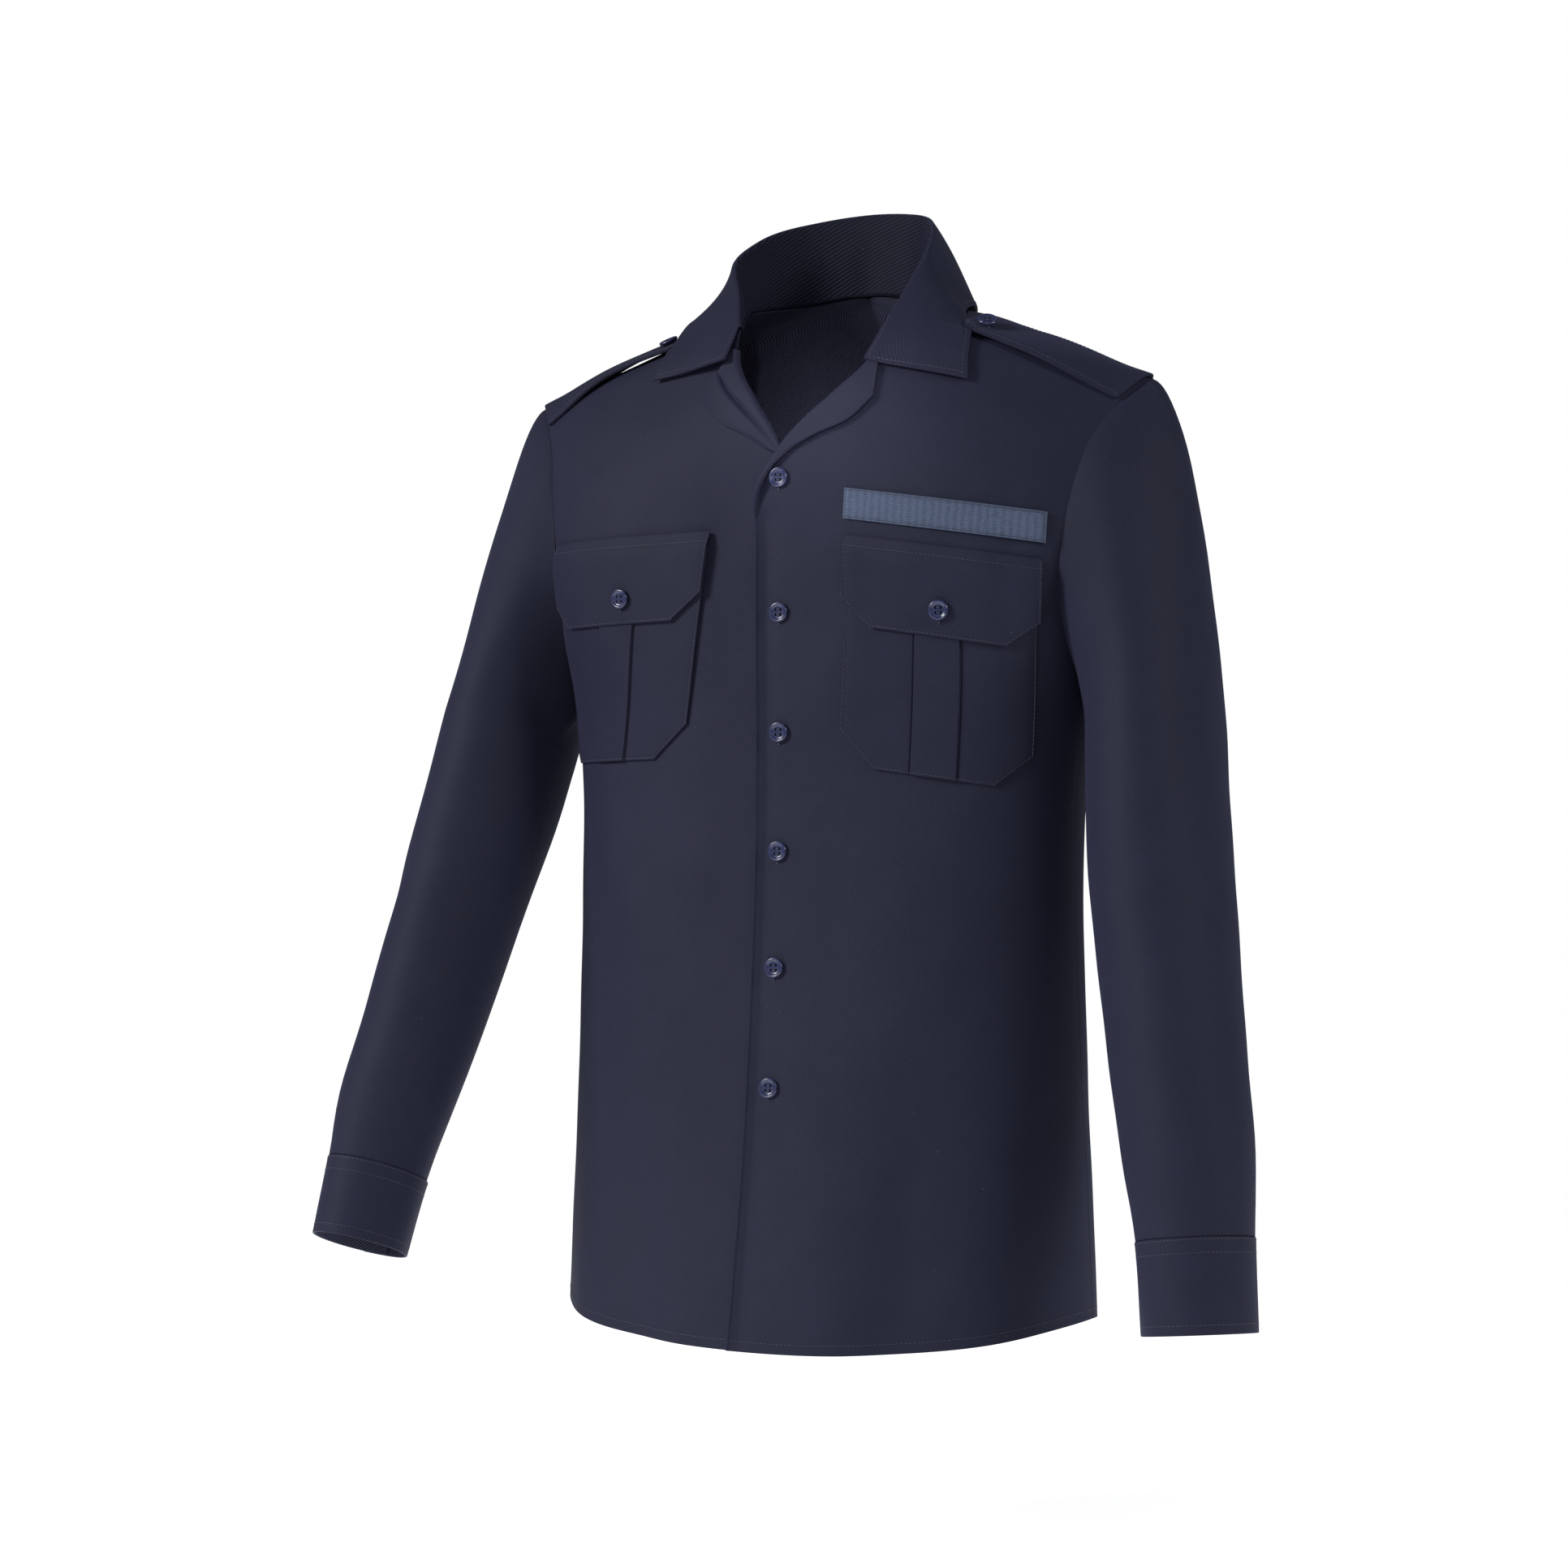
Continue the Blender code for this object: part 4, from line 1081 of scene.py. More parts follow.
class Finishes:
    """Every finish of the shirt, made once."""

    def __init__(self) -> None:
        """Makes the materials."""
        self.cloth = Twill("navy_twill").build()
        # Painted light: the inner faces are the same twill given a colour more than twice as light as the
        # outer cloth, so the shaded insides of the neck, back and sleeves read lighter.
        self.inside = Twill(
            "navy_twill_inside_painted_light",
            colour=(0.0400, 0.0430, 0.0740),
            rib=0.0017,
            rib_angle=math.radians(45),
            rib_depth=0.80,
            rib_contrast=0.60,
        ).build()
        # Painted shade: the collar's inner face and the neck piping are the same twill given a darker colour,
        # about 0.6 of the outer cloth, standing in for the shade inside the collar.
        self.stand = Twill(
            "navy_twill_stand_painted_shade",
            colour=(0.0095, 0.0102, 0.0215),
            rib=0.0019,
            rib_angle=math.radians(12),
            rib_depth=0.90,
            rib_contrast=0.62,
        ).build()
        self.thread = Thread().build()
        self.button_thread = Thread("button_thread", colour=(0.014, 0.017, 0.042)).build()
        self.pile = LoopPile().build()
        self.resin = ButtonResin().build()


def forwards(point: Vector) -> tuple[float, float, float]:
    """The way out of a piece on the chest."""
    return 0, -1, 0


def upwards(point: Vector) -> tuple[float, float, float]:
    """The way out of a piece on a shoulder."""
    return 0, 0, 1


@dataclass
class ClothPiece:
    """A thin cloth shell through one or more grids of points, named by its node."""

    node: str
    grids: list[Array]
    under: tuple[str, ...] = ()
    outward: Callable[[Vector], Sequence[float]] = forwards
    thickness: float = 0.0013
    offset: float = -1.0
    closed: bool = False
    held: str = "stretched"
    slot: str = "navy_twill"
    suffix: str = "cloth"
    inner_columns: int = 0
    edge_share: float = 0.32

    @property
    def name(self) -> str:
        """The piece's name."""
        return f"{self.node}_{self.suffix}"

    def measure(self) -> tuple[float, float, float]:
        """Width, length and area of the flat cut, from the cloth's own lengths.

        Returns:
            Width and length, then the area.
        """
        width = 0.0
        length = 0.0
        area = 0.0
        for grid in self.grids:
            rows = np.concatenate([grid, grid[:, :1]], axis=1) if self.closed else grid
            width += max(lengths(line)[-1] for line in rows)
            length = max(length, *(lengths(rows[:, j])[-1] for j in range(rows.shape[1])))
            over = rows[:-1, 1:] - rows[:-1, :-1]
            down = rows[1:, :-1] - rows[:-1, :-1]
            other_over = rows[1:, 1:] - rows[1:, :-1]
            other_down = rows[1:, 1:] - rows[:-1, 1:]
            first = np.linalg.norm(np.cross(over, down), axis=-1).sum()
            second = np.linalg.norm(np.cross(other_over, other_down), axis=-1).sum()
            area += (first + second) / 2
        return width, length, area

    def mesh(self) -> bpy.types.Mesh:
        """The open middle or outer surface with its cloth map.

        Returns:
            The mesh.
        """
        work = bmesh.new()
        layer = work.loops.layers.uv.new(CLOTH_UV)
        for number, grid in enumerate(self.grids):
            rows, columns = grid.shape[:2]
            sign = -1 if number else 1
            ring = np.concatenate([grid, grid[:, :1]], axis=1) if self.closed else grid
            across = np.mean([lengths(line) for line in ring], axis=0) * sign
            along = np.mean([lengths(ring[:, j]) for j in range(ring.shape[1])], axis=0)
            points = [[work.verts.new(point) for point in line] for line in grid]
            for i in range(rows - 1):
                for j in range(columns if self.closed else columns - 1):
                    k = (j + 1) % columns
                    made = work.faces.new((points[i][j], points[i][k], points[i + 1][k], points[i + 1][j]))
                    made.material_index = int(j < self.inner_columns)
                    corners = ((i, j), (i, j + 1), (i + 1, j + 1), (i + 1, j))
                    for loop, (a, b) in zip(made.loops, corners):
                        loop[layer].uv = (across[b], along[a])
        if len(self.grids) > 1:
            bmesh.ops.remove_doubles(work, verts=work.verts, dist=1e-6)
            bmesh.ops.recalc_face_normals(work, faces=work.faces)
        work.normal_update()
        facing = 0.0
        for made in work.faces:
            facing += Vector(self.outward(made.calc_center_median())).dot(made.normal) * made.calc_area()
        if facing < 0:
            bmesh.ops.reverse_faces(work, faces=work.faces)
        mesh = mesh_of(work, self.name)
        mesh.shade_smooth()
        return mesh

    def build(self, finish: Material, inside: Material | None = None) -> bpy.types.Object:
        """Makes the shell and logs its name and size.

        Args:
            finish: the material of the outer face.
            inside: the material of the inner face, where it is another one.

        Returns:
            The finished piece.
        """
        mesh = self.mesh()
        mesh.materials.append(finish)
        piece = new_object(self.name, mesh)
        wall = piece.modifiers.new("Wall", "SOLIDIFY")
        wall.thickness = self.thickness
        wall.offset = self.offset
        wall.use_quality_normals = True
        if inside is not None:
            mesh.materials.append(inside)
            wall.material_offset = 0 if self.inner_columns else 1
        soft = piece.modifiers.new("Rolled edge", "BEVEL")
        soft.width = self.thickness * self.edge_share
        soft.segments = 2
        soft.limit_method = "ANGLE"
        soft.angle_limit = math.radians(60)
        soft.harden_normals = True
        settle(piece)
        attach(piece, BODY_NAME)
        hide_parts(self.node)
        width, length, area = self.measure()
        area = min(area, width * length)
        rests_on = tuple(f"{node}_cloth" for node in self.under)
        LOG.info("%s: %.3f by %.3f m, %.4f m2", self.name, width, length, area)
        return piece


def settle(piece: bpy.types.Object) -> None:
    """Applies a piece's modifiers, so that its mesh is what shows.

    Args:
        piece: the piece's object.
    """
    graph = bpy.context.evaluated_depsgraph_get()
    final = piece.evaluated_get(graph)
    made = bpy.data.meshes.new_from_object(final, preserve_all_data_layers=True, depsgraph=graph)
    piece.modifiers.clear()
    old = piece.data
    piece.data = made
    made.name = piece.name
    bpy.data.meshes.remove(old)


class GeometryGroup:
    """A Geometry Nodes group with one geometry in, one out, and named numbers."""

    def __init__(self, name: str, numbers: dict[str, float]) -> None:
        """Makes the group.

        Args:
            name: the group's name.
            numbers: its number inputs and their usual values.
        """
        self.group = bpy.data.node_groups.new(name, "GeometryNodeTree")
        face = self.group.interface
        face.new_socket("Geometry", in_out="INPUT", socket_type="NodeSocketGeometry")
        for number, value in numbers.items():
            socket = face.new_socket(number, in_out="INPUT", socket_type="NodeSocketFloat")
            socket.default_value = value
        face.new_socket("Geometry", in_out="OUTPUT", socket_type="NodeSocketGeometry")
        self.start = self.add("NodeGroupInput")
        self.end = self.add("NodeGroupOutput")

    def add(self, kind: str, values: Values | None = None, **settings: object) -> Node:
        """Adds a node with its values and settings."""
        return add_node(self.group.nodes, kind, values, **settings)

    def link(self, *links: tuple[Node, str, Node, str]) -> None:
        """Joins outputs to inputs, each by its name."""
        for source, output, target, entry in links:
            self.group.links.new(source.outputs[output], target.inputs[entry])

    def finish(self, instances: Node, material: Material, *more: Node) -> None:
        """Makes instances real, sends them through more nodes, paints them and puts them out.

        Args:
            instances: the node that gives the instances.
            material: what they are painted with.
            *more: the nodes in between.
        """
        paint = self.add("GeometryNodeSetMaterial", {"Material": material})
        steps = [self.add("GeometryNodeRealizeInstances"), *more, paint, self.end]
        self.link((instances, "Instances", steps[0], "Geometry"))
        for step, following in zip(steps, steps[1:]):
            self.link((step, "Geometry", following, "Geometry"))

    def run(self, piece: bpy.types.Object, numbers: dict[str, float]) -> None:
        """Turns a piece into what the group makes of it.

        Args:
            piece: the piece that the group starts from.
            numbers: values of the group's inputs, by name.
        """
        step = piece.modifiers.new(self.group.name, "NODES")
        step.node_group = self.group
        for item in self.group.interface.items_tree:
            if item.in_out == "INPUT" and item.name in numbers:
                step[item.identifier] = numbers[item.name]
        settle(piece)
        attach(piece, BODY_NAME)
        LOG.info("%s: %d faces", piece.name, len(piece.data.polygons))


class StitchTree:
    """Geometry Nodes that lay a row of stitches along each path of a mesh of edges."""

    names: tuple[str, ...] = ("Pitch", "Stitch length", "Thread radius")
    usual: tuple[float, ...] = (0.0028, 0.0022, 0.00018)

    def __init__(self, thread: Material) -> None:
        """Builds the tree.

        Args:
            thread: the thread's material.
        """
        self.group = GeometryGroup("stitches", dict(zip(self.names, self.usual)))
        start, add = self.group.start, self.group.add
        curve = add("GeometryNodeMeshToCurve")
        spaced_out = add("GeometryNodeResampleCurve", mode="LENGTH")
        ball = add("GeometryNodeMeshUVSphere", {"Segments": 6, "Rings": 5, "Radius": 1.0})
        half = add("ShaderNodeMath", {1: 0.5}, operation="MULTIPLY")
        size = add("ShaderNodeCombineXYZ")
        turn = add("FunctionNodeAlignRotationToVector", axis="Z")
        tangent = add("GeometryNodeInputTangent")
        put = add("GeometryNodeInstanceOnPoints")
        self.group.link(
            (start, "Geometry", curve, "Mesh"),
            (curve, "Curve", spaced_out, "Curve"),
            (start, "Pitch", spaced_out, "Length"),
            (start, "Stitch length", half, 0),
            (start, "Thread radius", size, "X"),
            (start, "Thread radius", size, "Y"),
            (half, 0, size, "Z"),
            (tangent, "Tangent", turn, "Vector"),
            (spaced_out, "Curve", put, "Points"),
            (ball, "Mesh", put, "Instance"),
            (turn, "Rotation", put, "Rotation"),
            (size, "Vector", put, "Scale"),
        )
        self.group.finish(put, thread, add("GeometryNodeSetShadeSmooth"))

    def sew(self, name: str, paths: Sequence[Array], sizes: Sequence[float] | None = None) -> None:
        """Sews rows of stitches.

        Args:
            name: the piece's name.
            paths: lines of points on the cloth.
            sizes: pitch, stitch length and thread radius, where they aren't the usual ones.
        """
        points: list = []
        edges: list = []
        for path in paths:
            base = len(points)
            points.extend(np.asarray(path, float).tolist())
            edges.extend((base + i, base + i + 1) for i in range(len(path) - 1))
        mesh = bpy.data.meshes.new(name)
        mesh.from_pydata(points, edges, [])
        self.group.run(new_object(name, mesh), dict(zip(self.names, sizes or self.usual)))

    def edge_rows(
        self,
        name: str,
        grid: Array,
        normals: Array,
        rows: Sequence[tuple[Edge, float, float]],
        lift: float = STITCH_LIFT,
        sizes: Sequence[float] | None = None,
    ) -> None:
        """Sews rows of stitches along the edges of a grid.

        Args:
            name: the piece's name.
            grid: rows by columns of points.
            normals: their outward normals.
            rows: for each row of stitches its edge, its distance from it and what is left out at its ends.
            lift: how far off the grid the thread lies.
            sizes: pitch, stitch length and thread radius, where they aren't the usual ones.
        """
        self.sew(name, [inset(grid, normals, edge, away, lift, trim) for edge, away, trim in rows], sizes)


def inset(grid: Array, normals: Array, edge: Edge, distance: float, lift: float, trim: float = 0.0) -> Array:
    """A line on a grid, at a distance inside one of its edges.

    Args:
        grid: rows by columns of points.
        normals: their outward normals.
        edge: the edge.
        distance: the distance along the cloth from that edge.
        lift: how far off the grid the line lies.
        trim: how much is left out at both ends.

    Returns:
        The points of the line.
    """
    raised = grid + normals * lift
    if edge in (Edge.FIRST_ROW, Edge.LAST_ROW):
        raised = raised.transpose(1, 0, 2)
    if edge in (Edge.LAST_ROW, Edge.LAST_COLUMN):
        raised = raised[:, ::-1]
    line = np.array([along_line(row, distance) for row in raised])
    total = lengths(line)[-1]
    count = max(int((total - 2 * trim) / 0.002), 2)
    return along_line(line, np.linspace(trim, total - trim, count))


def spaced(total: float, edge: float, step: float) -> Array:
    """Places from 0 to a total, close together near both ends.

    Args:
        total: the last place.
        edge: the distance of a stitched line from the edge.
        step: the spacing between the two edges.

    Returns:
        The places.
    """
    near = [0.0, edge * 0.2, edge * 0.5, edge * 0.8, edge, edge * 1.2, edge * 1.5]
    inner = np.linspace(near[-1], total - near[-1], max(int((total - 2 * near[-1]) / step), 1) + 1)
    far = [total - value for value in near[-2::-1]]
    return np.concatenate([near[:-1], inner, far])


def bell(value: Array | float, middle: float, width: float) -> Array:
    """1 at the middle, falling off to both sides within a width."""
    return np.exp(-(((np.asarray(value, float) - middle) / width) ** 2))


def smoothed(points: Array, reach: int) -> Array:
    """Points averaged with their neighbours.

    Args:
        points: a line of points, or rows by columns of them.
        reach: how many neighbours count on each side.

    Returns:
        The averaged points.
    """
    offsets = np.arange(-reach, reach + 1)
    weights = bell(offsets, 0.0, reach / 2)
    count = points.shape[-2]
    padded = np.pad(points, [(0, 0)] * (points.ndim - 2) + [(reach, reach), (0, 0)], mode="edge")
    parts = [w * padded[..., reach + k : reach + k + count, :] for k, w in zip(offsets, weights)]
    return np.sum(parts, axis=0) / weights.sum()


def neck_inward(line: Array) -> Array:
    """Level ways from points of the neck seam towards the neck's middle."""
    return -unit(line * np.array([1, 1, 0]) + np.array([0, 0.01, 0]))


def edge_distance(grid: Array, edges: Sequence[Array]) -> Array:
    """Distance of each point of a grid from the nearest of some of its edges."""
    return np.min([np.linalg.norm(grid - edge, axis=-1) for edge in edges], axis=0)


def sewn_edge(distance: Array | float, stitch: float) -> Array:
    """Height of a turned edge: rolled down at the rim, full, and drawn in at its stitches.

    Args:
        distance: distance from the rim.
        stitch: the stitches' distance from it.

    Returns:
        The height off the flat cloth.
    """
    rim = -RIM_ROLL * (1 - smoothstep(0.0, RIM_WIDTH, distance))
    full = EDGE_FULLNESS * bell(distance, stitch * 0.5, stitch * 0.30)
    return rim + full - STITCH_PULL * bell(distance, stitch, STITCH_WIDTH)


@dataclass
class Panels:
    """Both fronts and the back."""

    body: ShirtBody
    finishes: Finishes
    stitches: StitchTree
    front_columns: int = 64
    back_columns: int = 64
    parts: int = 8
    hem_stitch: float = 0.0065
    hem_trim: float = 0.004
    ripple_height: float = 0.0004
    ease: int = 14
    ease_gap: float = 0.024
    edge_height: float = 0.0010
    edge_width: float = 0.0009
    trough_depth: float = 0.0018
    trough_at: float = 0.0085
    trough_width: float = 0.0048

    def column_places(self, count: int) -> Array:
        """Places across a panel, closer together near its front edge."""
        near = [0, 2, 4, 6, 8, 11, 14, 18, 22, 28, 36, 44, 54, 66]
        return np.concatenate([np.array(near) / 1000, np.linspace(0.078, 1, count)])

    def front_edge(self, grid: Array) -> Array:
        """Height of the front edge: a thin full rim, and a soft trough beside it where it buttons.

        Args:
            grid: the front's points.

        Returns:
            The height at each point.
        """
        distance = np.linalg.norm(grid - grid[:, :1], axis=-1)
        open_neck = smoothstep(-0.165, -0.150, grid[..., 2])
        rim = self.edge_height * bell(distance, self.edge_width, self.edge_width)
        trough = self.trough_depth * bell(distance, self.trough_at, self.trough_width)
        return (rim - trough) * (1 - open_neck)

    def shaped(self, grid: Array, outward: Sequence[float]) -> tuple[Array, Array]:
        """A panel's grid with its creases, and its normals.

        Args:
            grid: the panel's points.
            outward: a way that points out of it.

        Returns:
            The moved grid and the normals.
        """
        normals = grid_normals(grid, np.array(outward))
        moved = relief(grid, normals, CREASES)
        moved = ripple(moved, normals, self.ripple_height)
        return moved, normals

    def front(self, side: Side) -> None:
        """One front.

        Args:
            side: the wearer's left or right.
        """
        half = self.body.halves[Face.FRONT, side]
        grid = half.grid(self.column_places(self.front_columns), half.samples(self.parts))
        grid = shifted(grid, 1, -SEAM / 2)
        if side is Side.RIGHT:
            grid = under_offset(grid, UNDERLAP)
        rim = self.front_edge(grid) if side is Side.LEFT else np.zeros(grid.shape[:2])
        grid, normals = self.shaped(grid, (0, -1, 0.2))
        grid += normals * rim[..., None]
        name = f"front_{side.word}"
        piece = ClothPiece(name, [grid], ("back",), lambda point: (point[0] * 0.3, -1, 0.2))
        piece.build(self.finishes.cloth, self.finishes.inside)
        rows = [(Edge.FIRST_ROW, self.hem_stitch, self.hem_trim)]
        self.stitches.edge_rows(f"{name}_stitches", grid, normals, rows)

    def joined(self, left: Array, right: Array) -> tuple[Array, Array]:
        """Both halves of the back, rounded where they meet at its middle.

        Args:
            left: the left half's grid.
            right: the right half's grid.

        Returns:
            The whole back's left and right grids.
        """
        count = left.shape[1]
        whole = np.concatenate([right[:, ::-1], left], axis=1)
        near = bell(np.arange(2 * count), count - 0.5, 1.5 * self.ease)
        gap = np.linalg.norm(left[:, 0] - right[:, 0], axis=-1)
        share = near[None, :] * (1 - smoothstep(0.0, self.ease_gap, gap))[:, None]
        whole[..., 1] += (smoothed(whole, self.ease) - whole)[..., 1] * share
        closed = gap < SEAM / 100
        whole[closed, count - 1] = whole[closed, count] = whole[closed, count - 1 : count + 1].mean(axis=1)
        return whole[:, count:], whole[:, :count][:, ::-1]

    def back(self) -> None:
        """The back in one piece."""
        grids = []
        paths = []
        plain = {}
        for side in Side:
            half = self.body.halves[Face.BACK, side]
            places = np.linspace(0, 1, self.back_columns)
            plain[side] = shifted(half.grid(places, half.samples(self.parts)), 1, SEAM / 2)
        for grid in self.joined(plain[Side.LEFT], plain[Side.RIGHT]):
            grid, normals = self.shaped(grid, (0, 1, 0.2))
            grids.append(grid)
            paths.append(inset(grid, normals, Edge.FIRST_ROW, self.hem_stitch, STITCH_LIFT))
        piece = ClothPiece("back", grids, (), lambda point: (point[0] * 0.3, 1, 0.2))
        piece.build(self.finishes.cloth, self.finishes.inside)
        self.stitches.sew("back_stitches", paths)

    def build(self) -> None:
        """Makes the back and both fronts."""
        self.back()
        for side in Side:
            self.front(side)


@dataclass
class Sleeves:
    """Both sleeves with their cuffs."""

    body: ShirtBody
    finishes: Finishes
    stitches: StitchTree
    buttons: ButtonMaker
    parts: int = 4
    pull: float = 0.36
    pull_least: float = 0.015
    set_in: float = 0.85
    cap_steps: tuple[float, ...] = (0, 0.035, 0.12, 0.26, 0.42, 0.58, 0.74, 0.88, 1.0)
    cap_ways: tuple[tuple[float, float, float], ...] = (
        (0.90, 0.0, -0.43),
        (0.92, -0.30, -0.25),
        (0.55, 0.0, -0.84),
        (0.92, 0.30, -0.25),
    )
    cuff_lap: float = math.radians(32)
    cuff_lap_at: float = math.radians(272)
    cuff_wall: float = 0.0020
    cuff_cloth: float = 0.0018
    cuff_gap: float = 0.0007
    cuff_lift: float = 0.0006
    ripple_height: float = 0.0006
    cuff_columns: int = 104
    cuff_button_radius: float = 0.0055
    cuff_top_stitches: tuple[float, ...] = (0.0015, 0.0095)
    cuff_stitch: float = 0.0060
    cuff_trim: float = 0.002

    def armhole(self, side: Side) -> Array:
        """The armhole's edge from the shoulder down the front to the armpit and up the back.

        Args:
            side: the wearer's left or right.

        Returns:
            The edge's points, once round.
        """
        front, back = self.body.halves[Face.FRONT, side], self.body.halves[Face.BACK, side]
        upper = refine(front.samples()[ALONG_COUNTS[0] :], self.parts)
        rising = refine(back.samples()[ALONG_COUNTS[0] :], self.parts)
        down = shifted(front.grid([1.0], upper)[::-1, 0], 1, -SEAM / 2)
        up = shifted(back.grid([1.0], rising)[:, 0], 1, SEAM / 2)
        down[0] = (down[0] + up[-1]) / 2
        down[-1] = (down[-1] + up[0]) / 2
        return np.concatenate([down, up[1:-1]])

    def ring(self, row: SleeveRow, side: Side, way: Array, angles: Array) -> Array:
        """Points of one ring, from the outer side round by the front.

        Args:
            row: the ring's place and sizes.
            side: the wearer's left or right.
            way: the way along the arm.
            angles: the angle of each point.

        Returns:
            The points.
        """
        way = unit(way)
        across = np.array([side.value, 0.0, 0.0])
        outer = unit(across - way * (way @ across))
        front = unit(np.cross(way, outer))
        if front[1] > 0:
            front = -front
        centre = np.array([row.x * side.value, row.y, row.z])
        return (
            centre
            + np.outer(np.cos(angles), outer) * row.half_across
            + np.outer(np.sin(angles), front) * row.half_deep
        )

    def rings(self, side: Side) -> tuple[Array, Array]:
        """All rings of one sleeve and of its cuff.

        Args:
            side: the wearer's left or right.

        Returns:
            The sleeve's rings and the cuff's.
        """
        edge = self.armhole(side)
        count = len(edge)
        angles = np.arange(count) * TWO_PI / count
        rows = SLEEVE_ROWS[side]
        centres = np.array([[row.x * side.value, row.y, row.z] for row in rows])
        ways = np.vstack([centres[1] - centres[0], centres[2:] - centres[:-2], centres[-1] - centres[-2]])
        rings = np.array([self.ring(row, side, way, angles) for row, way in zip(rows, ways)])
        parts = [np.cos(angles), np.sin(angles), -np.cos(angles), -np.sin(angles)]
        weights = np.stack([np.maximum(part, 0) ** 2 for part in parts], axis=1)
        start = unit(weights @ np.array(self.cap_ways)) * np.array([side.value, 1, 1])
        span = np.linalg.norm(rings[0] - edge, axis=1, keepdims=True)
        leave = start * np.maximum(span * self.pull, self.pull_least)
        arrive = unit(ways[0]) * span * self.set_in
        steps = refine(np.array(self.cap_steps), self.parts)[:-1]
        cap = [cubic(t, edge, leave, rings[0], arrive) for t in steps]
        keys = lengths(centres)
        length = keys[-2]
        lower = read_rows(keys, rings, np.linspace(0, length, 8 * self.parts + 1))
        cuff = read_rows(keys, rings, np.linspace(length + SEAM, keys[-1], 3 * self.parts + 1))
        return np.concatenate([np.array(cap), lower]), cuff

    def sleeve(self, side: Side) -> None:
        """One sleeve and its cuff.

        Args:
            side: the wearer's left or right.
        """
        rings, cuff = self.rings(side)
        centre = rings.mean(axis=1, keepdims=True)
        outward = rings - centre
        normals = grid_normals(rings, outward, closed=True)
        down = np.linspace(0, 1, len(rings))
        fade = smoothstep(0.0, 0.06, down) * (1 - smoothstep(0.96, 1.0, down))
        moved = ripple(relief(rings, normals, SLEEVE_CREASES, side.value), normals, self.ripple_height)
        rings = rings + (moved - rings) * fade[:, None, None]
        low, high = rings[-1].mean(axis=0), rings[len(self.cap_steps) * self.parts].mean(axis=0)

        def away(point: Vector) -> tuple[float, float, float]:
            """The way out of the sleeve."""
            share = min(max((point[2] - low[2]) / (high[2] - low[2]), 0), 1.6)
            axis = low + (high - low) * share
            return point[0] - axis[0], point[1] - axis[1], 0

        piece = ClothPiece(f"sleeve_{side.word}", [rings], (f"front_{side.word}",), away, closed=True)
        piece.build(self.finishes.cloth, self.finishes.inside)
        self.cuff(side, cuff)

    def cuff(self, side: Side, rings: Array) -> None:
        """A cuff: a band whose outer end laps over its inner end, with a button on the lap.

        Args:
            side: the wearer's left or right.
            rings: the cuff's plain rings.
        """
        centre = rings.mean(axis=1)
        start = self.cuff_lap_at
        angles = np.linspace(start, start + TWO_PI + self.cuff_lap, self.cuff_columns + 1)
        turned = (angles - start) / TWO_PI
        lift = (self.cuff_wall + self.cuff_gap) * smoothstep(0.80, 0.975, turned)
        source = np.linspace(0, TWO_PI, rings.shape[1] + 1)
        grid = []
        for ring, middle in zip(rings, centre):
            closed = np.vstack([ring, ring[:1]])
            band = np.array([np.interp(np.mod(angles, TWO_PI), source, closed[:, i]) for i in range(3)]).T
            grid.append(band + unit(band - middle) * (lift + self.cuff_lift)[:, None])
        grid = np.array(grid)
        way = centre[-1] - centre[0]
        outward = grid - grid.mean(axis=1, keepdims=True)
        normals = grid_normals(grid, outward)
        origin, axis = Vector(centre[0]), Vector(way)

        def away(point: Vector) -> Vector:
            """The way out of the cuff."""
            share = (Vector(point) - origin).dot(axis) / axis.length_squared
            return Vector(point) - (origin + axis * share)

        name = f"cuff_{side.word}"
        piece = ClothPiece(name, [grid], (f"sleeve_{side.word}",), away, thickness=self.cuff_cloth)
        piece.build(self.finishes.cloth, self.finishes.inside)
        stitched = [(Edge.FIRST_ROW, away_from_top) for away_from_top in self.cuff_top_stitches]
        stitched += [(Edge.LAST_ROW, self.cuff_stitch), (Edge.LAST_COLUMN, self.cuff_stitch)]
        rows = [(*place, self.cuff_trim) for place in stitched]
        self.stitches.edge_rows(f"{name}_stitches", grid, normals, rows)
        last = len(grid) - 1
        coarse = grid[np.round(np.linspace(0, last, 4)).astype(int)]
        column = -1 - 2 * self.parts
        place = (coarse[1, column] + coarse[2, column]) / 2
        normal = unit(place - centre[last // 3 : 2 * last // 3 + 1].mean(axis=0))
        normal = unit(normal - unit(way) * (normal @ unit(way)))
        self.buttons.add(f"button_{name}", place, normal, self.cuff_button_radius)

    def build(self) -> None:
        """Makes both sleeves."""
        for side in Side:
            self.sleeve(side)


